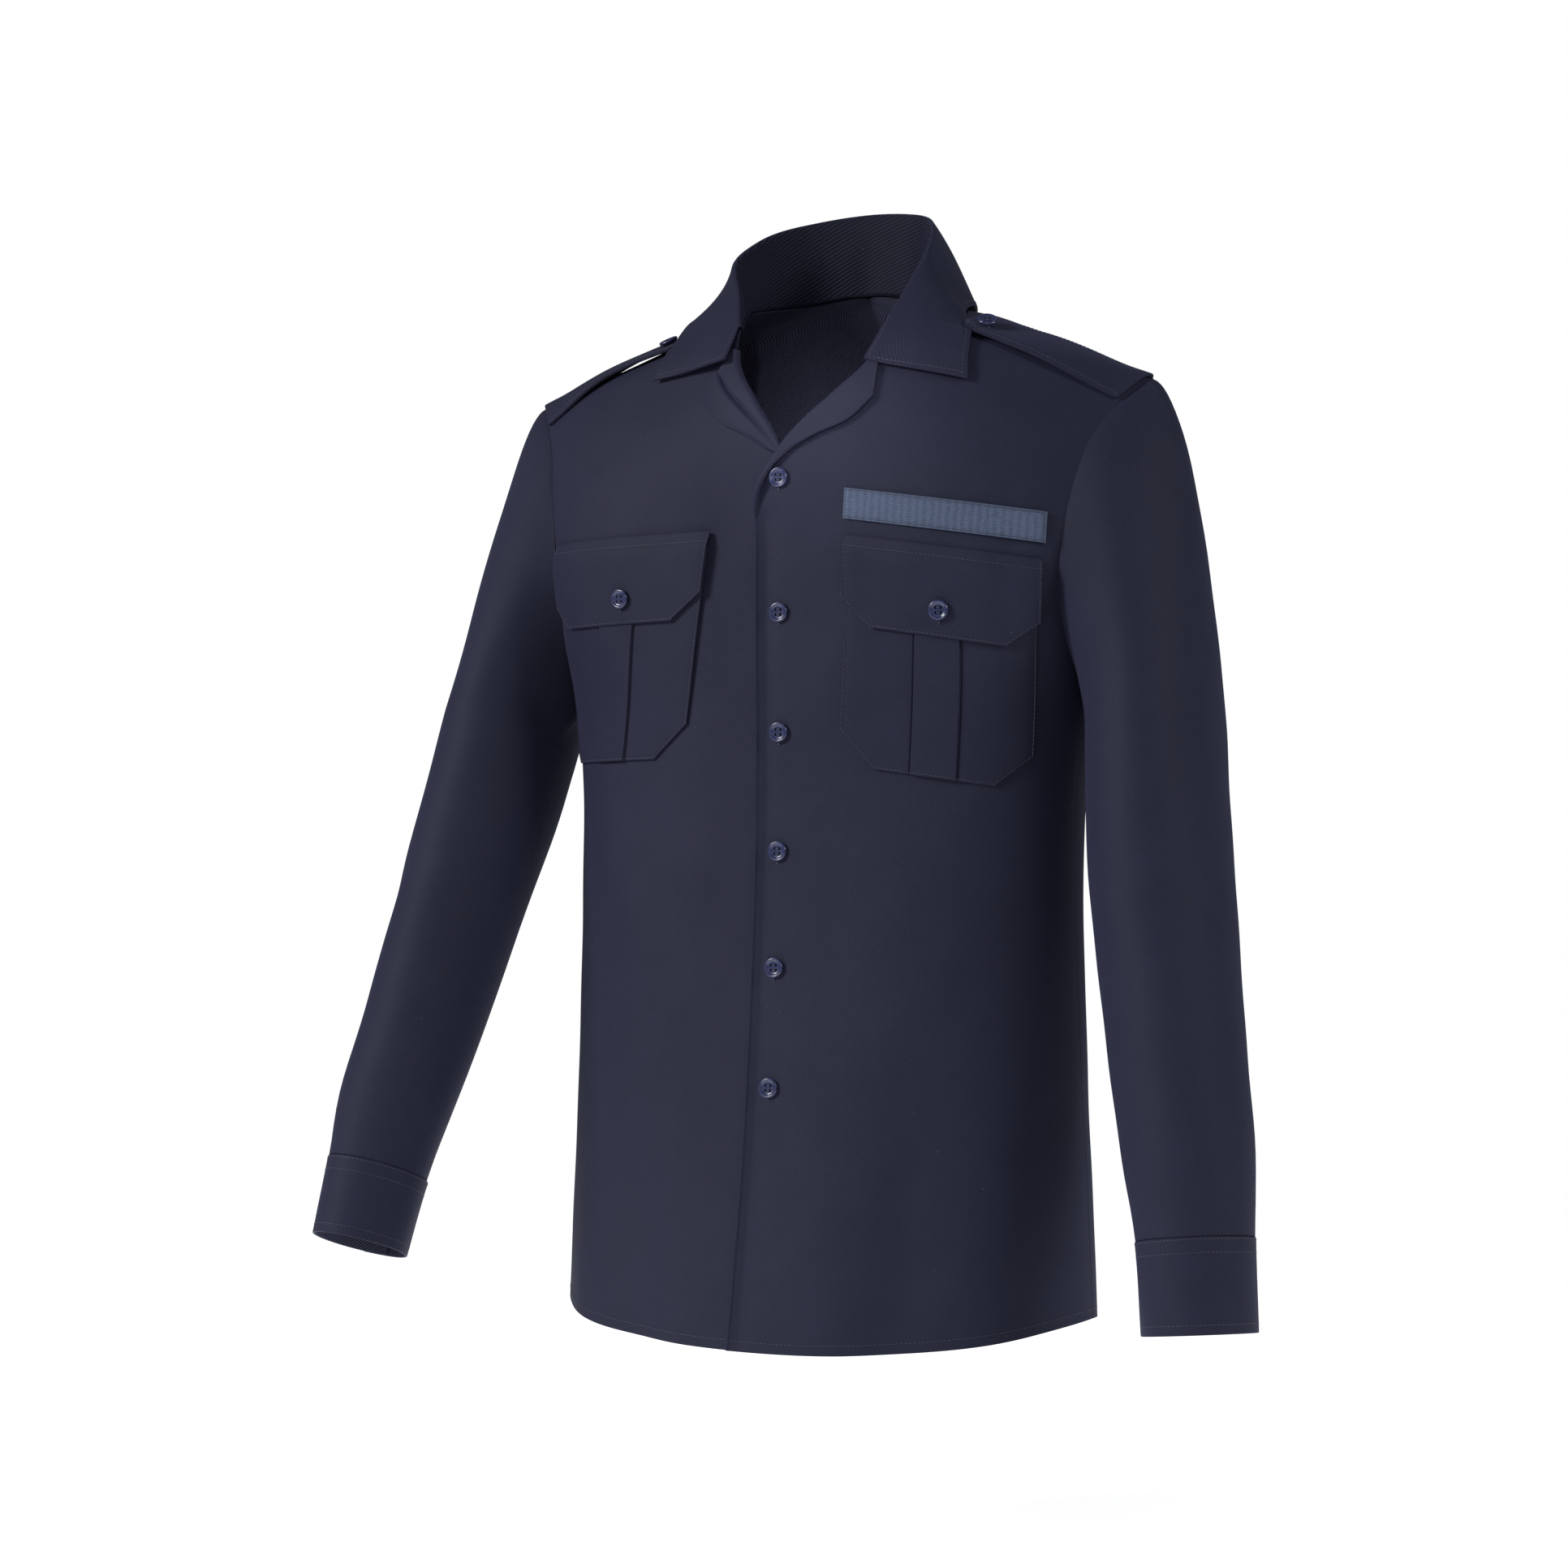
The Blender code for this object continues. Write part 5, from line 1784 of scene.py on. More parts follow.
@dataclass
class Collar:
    """The folded collar."""

    body: ShirtBody
    finishes: Finishes
    stitches: StitchTree
    stations: int = 72
    stand_steps: int = 6
    turn_steps: int = 7
    fall_steps: int = 16
    sway: float = 0.0045
    turn: float = 0.0022
    clear: float = CLOTH / 2 + 0.0033
    stitch: float = 0.0036
    corner_from: float = 0.78
    corner_step: int = 4
    corner_shift: float = 0.005
    left_drop: tuple[float, float] = (0.0050, 0.0035)
    ease: int = 8
    piping_off: float = 0.0010
    piping_up: float = 0.0002
    piping_radius: float = 0.0012
    piping_sides: int = 8

    def section(self, seam: Array, fold: Array, middle: Array, edge: Array, corner: float) -> Array:
        """The wall's middle at one station: up the stand, over the fold, down to the edge.

        Args:
            seam: the foot of the stand.
            fold: the top of the fold.
            middle: the middle of the fall, or its corner.
            edge: the fall's outer edge.
            corner: 0 for a round fall, 1 for one with a corner at its middle.

        Returns:
            The points of the section.
        """
        up = unit(fold - seam)
        out = edge - fold
        out = unit(out - up * (out @ up))
        centre = fold - up * self.turn + out * self.turn
        sweep = math.acos(max(-1, min(1, unit(middle - centre) @ up)))
        angles = np.linspace(0, sweep, self.turn_steps)
        bend = [centre + self.turn * (-math.cos(a) * out + math.sin(a) * up) for a in angles]
        stand = [seam + (bend[0] - seam) * t for t in np.linspace(0, 1, self.stand_steps + 1)[:-1]]
        start = bend[-1]
        control = 2 * middle - (start + edge) / 2
        shares = 1 - (1 - np.linspace(0, 1, self.fall_steps + 1)[1:]) ** 1.35
        turn_at = shares[self.corner_step - 1]
        fall = []
        for t in shares:
            round_point = (1 - t) ** 2 * start + 2 * t * (1 - t) * control + t**2 * edge
            bent = [np.interp(t, (0, turn_at, 1), (start[i], middle[i], edge[i])) for i in range(3)]
            fall.append(round_point * (1 - corner) + np.array(bent) * corner)
        return np.array(stand + bend + fall)

    def seam_line(self, side: Side, shares: Array) -> Array:
        """The neck seam from the middle of the back to the front end of the collar.

        Args:
            side: the wearer's left or right.
            shares: places along the seam, from 0 to 1.

        Returns:
            The seam's points.
        """
        back, front = self.body.halves[Face.BACK, side], self.body.halves[Face.FRONT, side]
        behind = back.grid([0.0], np.linspace(back.keys[GORGE_ROW], 1, 30))[:, 0]
        before = front.grid([0.0], np.linspace(1, front.keys[GORGE_ROW], 30))[:, 0]
        line = np.concatenate([behind, before[1:]])
        seam = along_line(line, shares * lengths(line)[-1])
        return seam + neck_inward(seam) * (CLOTH / 2) + np.array([0, 0, 2.5 * SEAM])

    def eased(self, seam: Array) -> Array:
        """The neck seam, rounded where its two sides meet at the centre back.

        Args:
            seam: the seam's points.

        Returns:
            The rounded seam.
        """
        near = bell(np.arange(len(seam)), len(seam) // 2, 2.5 * self.ease)
        return seam + (smoothed(seam, self.ease) - seam) * near[:, None]

    def piping(self, grid: Array) -> None:
        """The full round seam along the foot of the stand, inside the neck.

        Args:
            grid: the collar's points.
        """
        line = grid[:, 0]
        inward = neck_inward(line)
        middle = line + inward * self.piping_off + np.array([0, 0, self.piping_up])
        along = unit(np.gradient(middle, axis=0))
        up = unit(np.cross(along, inward))
        angles = np.linspace(0, TWO_PI, self.piping_sides + 1)[:-1]
        rings = [middle + (inward * math.cos(a) + up * math.sin(a)) * self.piping_radius for a in angles]
        work = bmesh.new()
        loft(work, np.stack(rings, axis=1))
        bmesh.ops.recalc_face_normals(work, faces=work.faces)
        mesh = mesh_of(work, "neck_piping")
        mesh.uv_layers.new(name=CLOTH_UV)
        # The piping takes the darker stand twill, which is painted shade.
        mesh.materials.append(self.finishes.stand)
        mesh.shade_smooth()
        piece = new_object("neck_piping", mesh)
        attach(piece, BODY_NAME)
        LOG.info("neck_piping: %d faces", len(mesh.polygons))

    def lifted(self, point: Array) -> Array:
        """A point kept clear of the body.

        Args:
            point: the point.

        Returns:
            The same point, or one above the body.
        """
        place, normal, _, _ = self.body.tree.find_nearest(Vector(point))
        height = (Vector(point) - place).dot(normal)
        return np.array(place + normal * self.clear) if height < self.clear else np.array(point)

    def grid(self) -> Array:
        """The collar's middle surface, from the right end round the back to the left end.

        Returns:
            The grid.
        """
        table = np.array([[row.fold, row.middle, row.edge] for row in COLLAR_ROWS])
        keys = lengths(table[:, 0])
        at = np.linspace(0, keys[-1], self.stations + 1)
        turned = {side: self.body.worn(table * np.array([side.value, 1, 1])) for side in Side}
        for side, rows in turned.items():
            rows[:, 2, 2] -= side.value * self.sway * keys / keys[-1]
        rows = np.concatenate([turned[Side.RIGHT][:0:-1], turned[Side.LEFT]])
        places = np.concatenate([-keys[:0:-1], keys])
        whole = np.concatenate([-at[:0:-1], at])
        columns = [hermite(places, rows[:, i], whole) for i in range(3)]
        seams = [self.seam_line(side, at / keys[-1]) for side in (Side.RIGHT, Side.LEFT)]
        seam = self.eased(np.concatenate([seams[0][:0:-1], seams[1]]))
        corners = smoothstep(self.corner_from, 1, np.abs(whole) / keys[-1])
        columns[1][:, 0] -= self.corner_shift * corners
        for column, drop in zip(columns[1:], self.left_drop):
            column[:, 2] -= drop * corners * (whole > 0)
        grid = np.array([self.section(*station) for station in zip(seam, *columns, corners)])
        first_fall = self.stand_steps + self.turn_steps
        for line in grid:
            line[first_fall:] = [self.lifted(point) for point in line[first_fall:]]
        return grid

    def build(self) -> None:
        """Makes the collar."""
        grid = self.grid()
        outward = np.array(grid)
        outward[..., 2] = 0
        normals = grid_normals(grid, outward)
        first_fall = self.stand_steps + self.turn_steps
        fall = grid[:, first_fall:]
        ends = [grid[:, -1:], grid[:1, first_fall:], grid[-1:, first_fall:]]
        gap = edge_distance(fall, ends)
        grid[:, first_fall:] += normals[:, first_fall:] * sewn_edge(gap, self.stitch)[..., None]
        # The stand's inner columns take the darker stand twill, which is painted shade.
        ClothPiece(
            "collar",
            [grid],
            ("front_left", "front_right", "back"),
            lambda point: (point[0], point[1], 0),
            thickness=CLOTH,
            offset=0,
            inner_columns=self.stand_steps + self.turn_steps // 2,
        ).build(self.finishes.cloth, self.finishes.stand)
        self.piping(grid)
        lift = CLOTH / 2 + STITCH_LIFT
        sections = grid[:, self.stand_steps + self.turn_steps - 2 :]
        above = normals[:, self.stand_steps + self.turn_steps - 2 :]
        edges = (Edge.LAST_COLUMN, Edge.FIRST_ROW, Edge.LAST_ROW)
        rows = [(edge, self.stitch, self.stitch) for edge in edges]
        self.stitches.edge_rows("collar_stitches", sections, above, rows, lift)


@dataclass
class Lapels:
    """Both lapels, turned back from the fronts."""

    body: ShirtBody
    finishes: Finishes
    stitches: StitchTree
    roll: float = 0.0026
    roll_least: float = 0.0014
    gap: float = 0.0007
    below_collar: float = 0.021
    above_break: float = 0.005
    right_raise: float = 0.0065
    right_rows: int = 5
    right_more: int = 2
    parts: int = 6
    turn_steps: int = 9
    cross_steps: int = 32
    crease_depth: float = 0.0024
    crease_at: tuple[float, float] = (0.45, 0.20)
    crease_out: float = 0.75
    crease_width: float = 0.0017
    end_from: float = 0.74
    end_least: float = 0.12
    end_sink: float = 0.0007
    edge_raise: dict[Side, float] = field(default_factory=lambda: {Side.LEFT: 0.0018, Side.RIGHT: 0.0030})

    def grid(self, half: Half, along: Array) -> Array:
        """Middle of one lapel's wall: round the roll and over the chest to the outer edge.

        Args:
            half: the front that it belongs to.
            along: places along the roll.

        Returns:
            The grid.
        """
        roll_line = half.grid([0.0, 0.04], along)
        table = np.array(LAPEL_EDGE)
        keys = lengths(np.column_stack([table, np.zeros(len(table))]))
        length = lengths(roll_line[:, 0])
        outer = hermite(keys, table, length / length[-1] * keys[-1])
        if half.side is Side.RIGHT:
            outer[:, 1] += self.right_raise * (1 - length / length[-1]) ** 2
        fullness = 1 - smoothstep(self.end_from, 1.0, length / length[-1])
        grid = []
        for (start, inside), (outer_x, outer_z), full in zip(roll_line, outer, fullness):
            inward = unit(start - inside)
            normal = half.normal(start)
            start_x = start[0] * half.side.value
            width = math.hypot(outer_x - start_x, outer_z - start[2])
            radius = min(self.roll, max(width * 0.2, self.roll_least)) * max(full, self.end_least)
            sink = (1 - full) * self.end_sink
            base = start + inward * (self.gap * full - sink) - normal * (CLOTH / 2 + sink)
            turn = np.linspace(0, math.pi, self.turn_steps)
            section = []
            for a in turn:
                section.append(base + inward * radius * math.sin(a) + normal * radius * (1 - math.cos(a)))
            top = 2 * radius - CLOTH / 2 - sink
            low = (REST + CLOTH / 2) * full - (CLOTH / 2 + sink) * (1 - full)
            for t in np.linspace(0, 1, self.cross_steps + 1)[1:]:
                point = half.place(start_x + (outer_x - start_x) * t, start[2] + (outer_z - start[2]) * t)
                height = top + (low - top) * smoothstep(0, 1, t) + self.edge_raise[half.side] * full * t**2
                section.append(point + half.normal(point) * height)
            grid.append(section)
        return np.array(grid)

    def lapel(self, side: Side) -> None:
        """One lapel; the right one ends where the left front covers it.

        Args:
            side: the wearer's left or right.
        """
        half = self.body.halves[Face.FRONT, side]
        along = half.samples()[ALONG_COUNTS[0] + ALONG_COUNTS[1] : -ALONG_COUNTS[3]][::-1]
        along[0] -= self.below_collar
        along[-1] += self.above_break
        if side is Side.RIGHT:
            fine = refine(along, self.parts)
            grid = self.grid(half, fine)[: (self.right_rows - 1) * self.parts + 1 + self.right_more]
            grid = self.creased(under_offset(grid, UNDERLAP))
        else:
            grid = self.grid(half, refine(along, self.parts))
        piece = ClothPiece(f"lapel_{side.word}", [grid], (f"front_{side.word}",), thickness=CLOTH, offset=0)
        piece.build(self.finishes.cloth)

    def creased(self, grid: Array) -> Array:
        """A lapel with the soft crease that runs from its notch down to the break.

        Args:
            grid: the lapel's points.

        Returns:
            The creased grid.
        """
        chest = grid[:, self.turn_steps :]
        normals = grid_normals(chest, np.array([0, -1, 0.2]))
        down = np.linspace(0, 1, len(grid))[:, None]
        across = np.linspace(0, 1, chest.shape[1])[None, :]
        width = np.linalg.norm(chest[:, -1] - chest[:, 0], axis=-1)[:, None]
        top, low = self.crease_at
        distance = (across - (top + (low - top) * down)) * width
        depth = self.crease_depth * np.sin(math.pi * np.clip(down * 0.9 + 0.1, 0, 1))
        fade = 1 - smoothstep(self.crease_out, 1.0, across)
        moved = np.array(grid)
        amount = depth * bell(distance, 0.0, self.crease_width) * fade
        moved[:, self.turn_steps :] -= normals * amount[..., None]
        return moved

    def build(self) -> None:
        """Makes both lapels."""
        for side in Side:
            self.lapel(side)


@dataclass
class Patch:
    """A patch on the chest, read by its distance from the inner edge and the share of its depth."""

    half: Half
    start_x: float
    top_z: float
    tilt: float
    lean: float
    depth: Callable[[float], float]

    def point(self, distance: float, share: float) -> Array:
        """The body's point under a place of the patch.

        Args:
            distance: distance from the inner edge.
            share: share of the depth there.

        Returns:
            The point.
        """
        drop = self.depth(distance) * share
        z = self.top_z - math.sin(self.tilt) * distance - math.cos(self.tilt) * drop
        return self.half.place(distance + self.lean * drop, z, self.start_x)

    def grid(
        self, distances: Sequence[float], shares: Sequence[float], height: Callable[[float, float], float]
    ) -> tuple[Array, Array]:
        """Points of the patch at a height off the body, and their normals.

        Args:
            distances: distances from the inner edge.
            shares: shares of the depth.
            height: a function from both to the height.

        Returns:
            The points and the normals.
        """
        base = np.array([[self.point(d, s) for d in distances] for s in shares])
        normals = grid_normals(base, np.array([0, -1, 0.2]))
        base = ripple(relief(base, normals, CREASES), normals, 0.0004)
        heights = np.array([[height(d, s) for d in distances] for s in shares])
        return base + normals * heights[..., None], normals


def cut_corners(width: float, depth: float, side_depth: float, corner: float) -> Callable[[float], float]:
    """Depth of a patch at a distance from its inner edge, with its two lower corners cut off.

    Args:
        width: the patch's width.
        depth: its depth at the middle.
        side_depth: its depth at both sides.
        corner: the width of a cut-off corner.

    Returns:
        A function from a distance to the depth there.
    """

    def bottom(distance: float) -> float:
        """The depth at one distance."""
        near = min(distance, width - distance)
        return side_depth + (depth - side_depth) * min(max(near, 0) / corner, 1)

    return bottom


class PocketPlace(NamedTuple):
    """Where a pocket lies on the chest, and how it hangs there."""

    start_x: float
    width: float
    flap_top: float
    tilt: float
    lean: float


@dataclass
class Pockets:
    """Both chest pockets with their flaps and buttons."""

    body: ShirtBody
    finishes: Finishes
    stitches: StitchTree
    buttons: ButtonMaker
    places: dict[Side, PocketPlace] = field(
        default_factory=lambda: {
            Side.LEFT: PocketPlace(0.0500, 0.127, -0.1745, math.radians(8.0), -0.05),
            Side.RIGHT: PocketPlace(0.0525, 0.132, -0.1690, math.radians(1.5), 0.15),
        }
    )
    height: float = 0.140
    corner: float = 0.024
    pleat: float = 0.029
    pleat_rise: float = 0.0014
    pleat_step: float = 0.0005
    pleat_groove: float = 0.0007
    lie: float = 0.0022
    wall: float = 0.0017
    below_flap: float = 0.010
    flap_height: float = 0.058
    flap_side: float = 0.040
    flap_corner: float = 0.021
    flap_over: float = 0.002
    flap_top_lie: float = 0.0024
    flap_lie: float = 0.0052
    flap_wall: float = 0.0016
    button_up: float = 0.017
    step: float = 0.0055
    stitch: float = 0.0015
    flap_stitch: float = 0.0065
    flap_trim: float = 0.001
    side_trim: float = 0.003

    def pocket(self, side: Side) -> None:
        """One pocket with its box pleat.

        Args:
            side: the wearer's left or right.
        """
        half, place = self.body.halves[Face.FRONT, side], self.places[side]
        width = place.width
        depth = cut_corners(width, self.height, self.height - self.corner * 0.95, self.corner)
        top = place.flap_top - self.below_flap
        patch = Patch(half, place.start_x, top, place.tilt, place.lean, depth)
        middle, fold = width / 2, self.pleat / 2

        def height(distance: float, share: float) -> float:
            """How far the pocket's face stands off the body."""
            near = min(distance, width - distance, (1 - share) * depth(distance))
            off_fold = abs(distance - middle) - fold
            step = 1 - smoothstep(0.0, self.pleat_step, off_fold)
            groove = bell(off_fold, 2 * self.pleat_step, self.pleat_step)
            pleat = self.pleat_rise * float(step) - self.pleat_groove * float(groove)
            return self.lie + pleat + float(sewn_edge(near, self.stitch))

        distances = set(np.round(spaced(width, self.stitch, self.step), 6))
        distances |= {self.corner, width - self.corner}
        for turn, edge in ((-1, middle - fold), (1, middle + fold)):
            distances |= {edge + turn * self.pleat_step * k for k in (-2, 0, 0.5, 1, 1.5, 2, 2.5, 3.5, 5)}
        low = [0.9, 0.93, 0.95, 0.965, 0.975, 0.985, 0.995, 1.0]
        shares = np.concatenate([np.linspace(0, 0.9, 22)[:-1], 1 - spaced(0.2, 0.036, 0.02)[::-1][10:], low])
        shares = np.unique(np.clip(shares, 0, 1))
        grid, normals = patch.grid(sorted(distances), shares, height)
        name = f"pocket_{side.word}"
        piece = ClothPiece(name, [grid], (f"front_{side.word}",), thickness=self.wall, held="laid")
        piece.build(self.finishes.cloth)
        self.stitches.edge_rows(f"{name}_stitches", grid, normals, self.outline_rows())

    def outline_rows(self) -> list[tuple[Edge, float, float]]:
        """The rows of stitches down both sides of a patch and along its lower edge."""
        sides = [(edge, self.stitch, self.side_trim) for edge in (Edge.FIRST_COLUMN, Edge.LAST_COLUMN)]
        return [*sides, (Edge.LAST_ROW, self.stitch, self.stitch)]

    def flap(self, side: Side) -> None:
        """One flap with its button.

        Args:
            side: the wearer's left or right.
        """
        half, place = self.body.halves[Face.FRONT, side], self.places[side]
        width = place.width + 2 * self.flap_over
        depth = cut_corners(width, self.flap_height, self.flap_side, self.flap_corner)
        start = place.start_x - self.flap_over
        patch = Patch(half, start, place.flap_top, place.tilt, place.lean, depth)

        def lie(share: float) -> float:
            """How far the flap's face stands off the body."""
            rise = float(smoothstep(0.0, 0.22, share))
            return self.flap_top_lie + (self.flap_lie - self.flap_top_lie) * rise

        def height(distance: float, share: float) -> float:
            """The face with its sewn edges."""
            drop = share * depth(distance)
            near = min(distance, width - distance, depth(distance) - drop)
            top = -0.0004 * float(bell(drop, self.flap_stitch, 0.0010))
            return lie(share) + top + float(sewn_edge(near, self.stitch))

        distances = set(np.round(spaced(width, self.stitch, self.step), 6))
        distances |= {self.flap_corner, width - self.flap_corner}
        shares = [0, 0.03, 0.06, 0.09, 0.11, 0.13, 0.16, 0.20, 0.27, 0.34, 0.42, 0.50, 0.58, 0.66, 0.74]
        shares += [0.81, 0.86, 0.89, 0.915, 0.94, 0.965, 0.985, 1.0]
        grid, normals = patch.grid(sorted(distances), shares, height)
        name = f"flap_{side.word}"
        piece = ClothPiece(name, [grid], (f"pocket_{side.word}",), thickness=self.flap_wall, held="laid")
        piece.build(self.finishes.cloth)
        rows = [(Edge.FIRST_ROW, self.flap_stitch, self.flap_trim), *self.outline_rows()]
        self.stitches.edge_rows(f"{name}_stitches", grid, normals, rows)
        distance = width / 2
        z = place.flap_top - math.sin(place.tilt) * distance
        z -= math.cos(place.tilt) * (self.flap_height - self.button_up)
        point = half.place(distance, z, start)
        normal = half.normal(point)
        self.buttons.add(f"button_flap_{side.word}", point + normal * (lie(0.8) + 0.0002), normal)

    def build(self) -> None:
        """Makes both pockets."""
        for side in Side:
            self.pocket(side)
            self.flap(side)


@dataclass
class NameStrip:
    """The bare loop strip above the left pocket."""

    body: ShirtBody
    finishes: Finishes
    stitches: StitchTree
    start_x: float = 0.0475
    width: float = 0.135
    height: float = 0.0205
    top_z: float = -0.1745 + 0.031
    tilt: float = math.radians(8.0)
    lie: float = 0.0028
    lean: float = -0.05
    wall: float = 0.0018
    edge: float = 0.0016
    loop_pitch: float = 0.00125
    loop_lift: float = 0.0006
    loop_share: float = 0.62
    stitch: float = 0.0018
    stitch_lift: float = 0.0003
    stitch_sizes: tuple[float, float, float] = (0.0022, 0.0017, 0.00018)

    def build(self) -> None:
        """Makes the strip, its pile and its stitches."""
        half = self.body.halves[Face.FRONT, Side.LEFT]
        patch = Patch(half, self.start_x, self.top_z, self.tilt, self.lean, lambda distance: self.height)

        def height(distance: float, share: float) -> float:
            """The strip's face, rolled down at its edges."""
            near = min(distance, self.width - distance, share * self.height, (1 - share) * self.height)
            return self.lie - 0.0007 * (1 - float(smoothstep(0.0, self.edge, near)))

        near_edge = np.array([0, self.edge / 2, self.edge])
        inner = np.linspace(0.004, self.width - 0.004, 28)
        distances = np.concatenate([near_edge, inner, self.width - near_edge[::-1]])
        shares = (0, 0.04, 0.08, 0.25, 0.5, 0.75, 0.92, 0.96, 1)
        grid, normals = patch.grid(distances, shares, height)
        ClothPiece(
            "name_strip",
            [grid],
            ("front_left",),
            thickness=self.wall,
            held="laid",
            slot="loop_strip",
            suffix="band",
        ).build(self.finishes.pile)
        self.pile(grid, normals)
        rows = [(edge, self.stitch, self.stitch) for edge in Edge]
        name = "name_strip_stitches"
        self.stitches.edge_rows(name, grid, normals, rows, self.stitch_lift, self.stitch_sizes)

    def pile(self, grid: Array, normals: Array) -> None:
        """Sets small loops of yarn in staggered rows over the strip's face.

        Args:
            grid: the face's points.
            normals: their outward normals.
        """
        rows = int(self.height / self.loop_pitch) - 1
        columns = int(self.width / self.loop_pitch) - 1
        face = grid[0] * 1.0
        bottom = grid[-1] * 1.0
        points = []
        for i in range(rows):
            t = (i + 1) / (rows + 1)
            line = face * (1 - t) + bottom * t + normals[4] * self.loop_lift
            at = (np.arange(columns) + 1 + 0.5 * (i % 2)) * self.loop_pitch
            points.extend(along_line(line, at).tolist())
        mesh = bpy.data.meshes.new("pile_points")
        mesh.from_pydata(points, [], [])
        piece = new_object("name_strip_pile", mesh)
        self.pile_group().run(piece, {"Loop size": self.loop_pitch * self.loop_share})

    def pile_group(self) -> GeometryGroup:
        """Geometry Nodes that set a small bent loop on each point.

        Returns:
            The group.
        """
        group = GeometryGroup("pile", {"Loop size": 0.0008})
        start, add = group.start, group.add
        bent = {"Resolution": 5, "Radius": 0.5, "Sweep Angle": math.radians(200)}
        arc = add("GeometryNodeCurveArc", bent)
        yarn = add("GeometryNodeCurvePrimitiveCircle", {"Resolution": 4, "Radius": 0.16})
        tube = add("GeometryNodeCurveToMesh")
        turns = {"Min": (1.0, -0.5, -0.6), "Max": (2.0, 0.5, 0.6), "Seed": 7}
        spin = add("FunctionNodeRandomValue", turns, data_type="FLOAT_VECTOR")
        grow = add("FunctionNodeRandomValue", {"Min": 0.8, "Max": 1.25, "Seed": 11}, data_type="FLOAT")
        scale = add("ShaderNodeMath", operation="MULTIPLY")
        put = add("GeometryNodeInstanceOnPoints")
        group.link(
            (arc, "Curve", tube, "Curve"),
            (yarn, "Curve", tube, "Profile Curve"),
            (start, "Geometry", put, "Points"),
            (tube, "Mesh", put, "Instance"),
            (spin, "Value", put, "Rotation"),
            (start, "Loop size", scale, 0),
            (scale, 0, put, "Scale"),
        )
        grown = next(out for out in grow.outputs if out.enabled)
        group.group.links.new(grown, scale.inputs[1])
        group.finish(put, self.finishes.pile)
        return group


